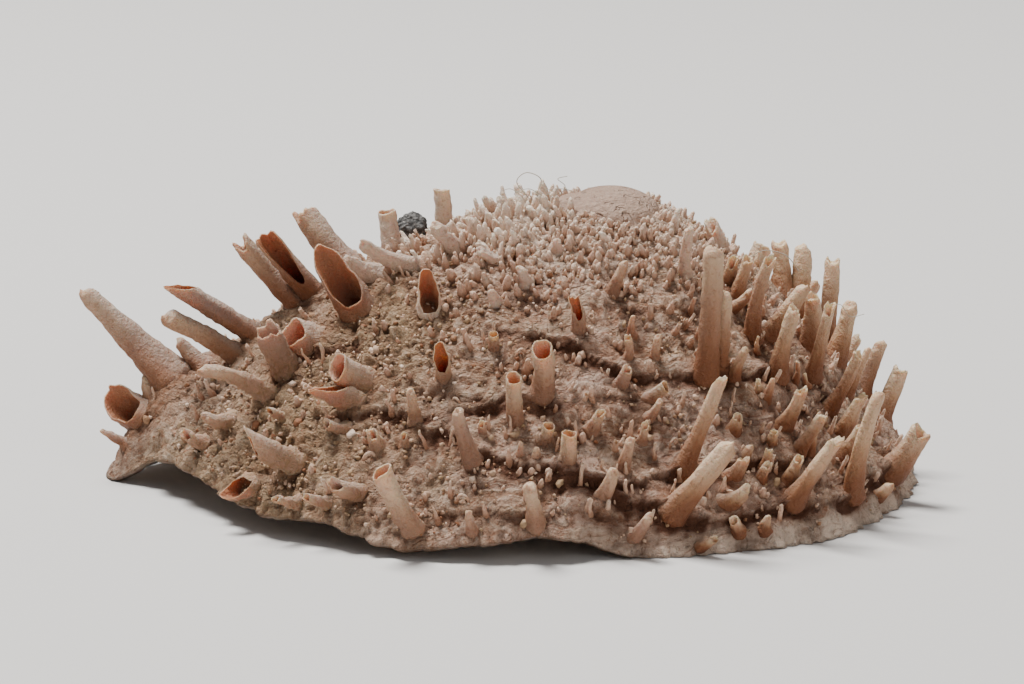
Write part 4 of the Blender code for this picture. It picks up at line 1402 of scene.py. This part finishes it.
class MakeArches(bpy.types.Operator):
    """Make the small arched hooks, whose tips have grown back on to the shell"""

    bl_idname = "spiny_shell.arches"
    bl_label = "Arched hooks"

    def execute(self, context):
        rows = np.array(ARCHES)
        foot = saucer(rows[:, 0], rows[:, 1])
        heading = np.radians(rows[:, 5])
        level = np.stack([np.cos(heading), np.sin(heading), 0 * heading], -1)
        up = perpendicular(np.broadcast_to([0.0, -0.3, 1.0], level.shape), level)
        turn = np.linspace(-0.25, math.pi + 0.25, 20)[None, :, None]
        half, tall = rows[:, 2, None, None] / 2, rows[:, 3, None, None]
        paths = foot[:, None] + level[:, None] * half * np.cos(turn) + up[:, None] * tall * np.sin(turn)
        points = swept(paths, rows[:, 4] / 2, 10)
        packed, faces, data = pack_spines(points, 0.8 * np.sin(turn), tint=0.6)
        new_piece("shell_arches", packed, faces, spine_attributes(data, 0.2),
                  nodule_material(), NODE)
        return {"FINISHED"}


class MakeLint(bpy.types.Operator):
    """Make the fibres of lint caught on the shell"""

    bl_idname = "spiny_shell.lint"
    bl_label = "Lint"

    def execute(self, context):
        steps, columns = 60, 6
        paths = np.stack([smooth_path(knots, steps) for _, knots in LINT])
        points = swept(paths + [*CENTRE_SHIFT, 0.0], [radius for radius, _ in LINT], columns)
        new_grid_piece("lint_fibres", points, {}, lint_material(), None)
        return {"FINISHED"}


def area_light(name, place, target, size, power, colour):
    """A square soft light at a place, turned towards a target."""
    data = bpy.data.lights.new(name, "AREA")
    data.size = size
    data.energy = power
    data.color = colour
    lamp = bpy.data.objects.new(name, data)
    bpy.context.scene.collection.objects.link(lamp)
    aim(lamp, place, target)


def aim(thing, place, target):
    """Put a light or camera at a place, looking at a target."""
    place, target = np.array(place, float), np.array(target, float)
    thing.location = place
    back = place - target
    level = math.hypot(back[0], back[1])
    thing.rotation_euler = (math.atan2(level, back[2]), 0, math.atan2(back[0], -back[1]))


class MakeStage(bpy.types.Operator):
    """Make the plain floor, the soft lights and the camera"""

    bl_idname = "spiny_shell.stage"
    bl_label = "Stage"

    def execute(self, context):
        scene = context.scene
        mesh = bpy.data.meshes.new("floor")
        corners = [(x * FLOOR_HALF, y * FLOOR_HALF, 0) for x, y in ((-1, -1), (1, -1), (1, 1), (-1, 1))]
        mesh.from_pydata(corners, [], [(0, 1, 2, 3)])
        mesh.materials.append(floor_material())
        floor = bpy.data.objects.new("floor", mesh)
        floor.location.z = -FLOOR_GAP
        scene.collection.objects.link(floor)
        world = bpy.data.worlds.new("soft_sky")
        world.use_nodes = True
        world.node_tree.nodes["Background"].inputs["Color"].default_value = (0.95, 0.97, 1.0, 1)
        world.node_tree.nodes["Background"].inputs["Strength"].default_value = 0.19
        scene.world = world
        area_light("key_above", (-0.12, 0.08, 0.40), MIDDLE, 0.17, 4.1, (1.0, 0.98, 0.95))
        area_light("fill_front", (0.22, -0.34, 0.20), MIDDLE, 0.30, 0.5, (1.0, 0.97, 0.94))
        camera = bpy.data.objects.new("camera", bpy.data.cameras.new("camera"))
        camera.data.sensor_width = 36
        camera.data.lens = CAMERA_LENS
        camera.data.clip_start = 0.01
        camera.data.clip_end = 10
        elevation = math.radians(CAMERA_ELEVATION)
        offset = np.array([0, -math.cos(elevation), math.sin(elevation)]) * CAMERA_DISTANCE
        aim(camera, np.array(MIDDLE) + offset, MIDDLE)
        scene.collection.objects.link(camera)
        scene.camera = camera
        return {"FINISHED"}


class ShellPanel(bpy.types.Panel):
    """Buttons for each step and the settings they use"""

    bl_idname = "SPINY_SHELL_PT_panel"
    bl_label = "Spiny shell"
    bl_space_type = "VIEW_3D"
    bl_region_type = "UI"
    bl_category = "Shell"

    def draw(self, context):
        for operator in OPERATORS:
            self.layout.operator(operator.bl_idname)
        for group in (context.scene.spiny_shell_sizes, context.scene.spiny_shell_colours):
            box = self.layout.box()
            for key in group.__annotations__:
                box.prop(group, key)


OPERATORS = (
    MakeSaucer, MakeCup, MakeSpines, MakeSmallSpines, MakeRidgeTeeth, MakeNodules, MakeArches,
    MakeSand, MakeGrit, MakeLint, MakeStage,
)
CLASSES = (ShellSizes, ShellColours, *OPERATORS, ShellPanel)


def register():
    """Add the classes and the scene's settings."""
    for cls in CLASSES:
        bpy.utils.register_class(cls)
    bpy.types.Scene.spiny_shell_sizes = PointerProperty(type=ShellSizes)
    bpy.types.Scene.spiny_shell_colours = PointerProperty(type=ShellColours)


def unregister():
    """Take away what register added."""
    del bpy.types.Scene.spiny_shell_colours
    del bpy.types.Scene.spiny_shell_sizes
    for cls in reversed(CLASSES):
        bpy.utils.unregister_class(cls)


def main():
    """Run every step."""
    register()
    bpy.ops.spiny_shell.saucer()
    bpy.ops.spiny_shell.cup()
    bpy.ops.spiny_shell.spines()
    bpy.ops.spiny_shell.small_spines()
    bpy.ops.spiny_shell.ridge_teeth()
    bpy.ops.spiny_shell.nodules()
    bpy.ops.spiny_shell.arches()
    bpy.ops.spiny_shell.sand()
    bpy.ops.spiny_shell.grit()
    bpy.ops.spiny_shell.lint()
    bpy.ops.spiny_shell.stage()
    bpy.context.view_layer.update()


if __name__ == "__main__":
    main()
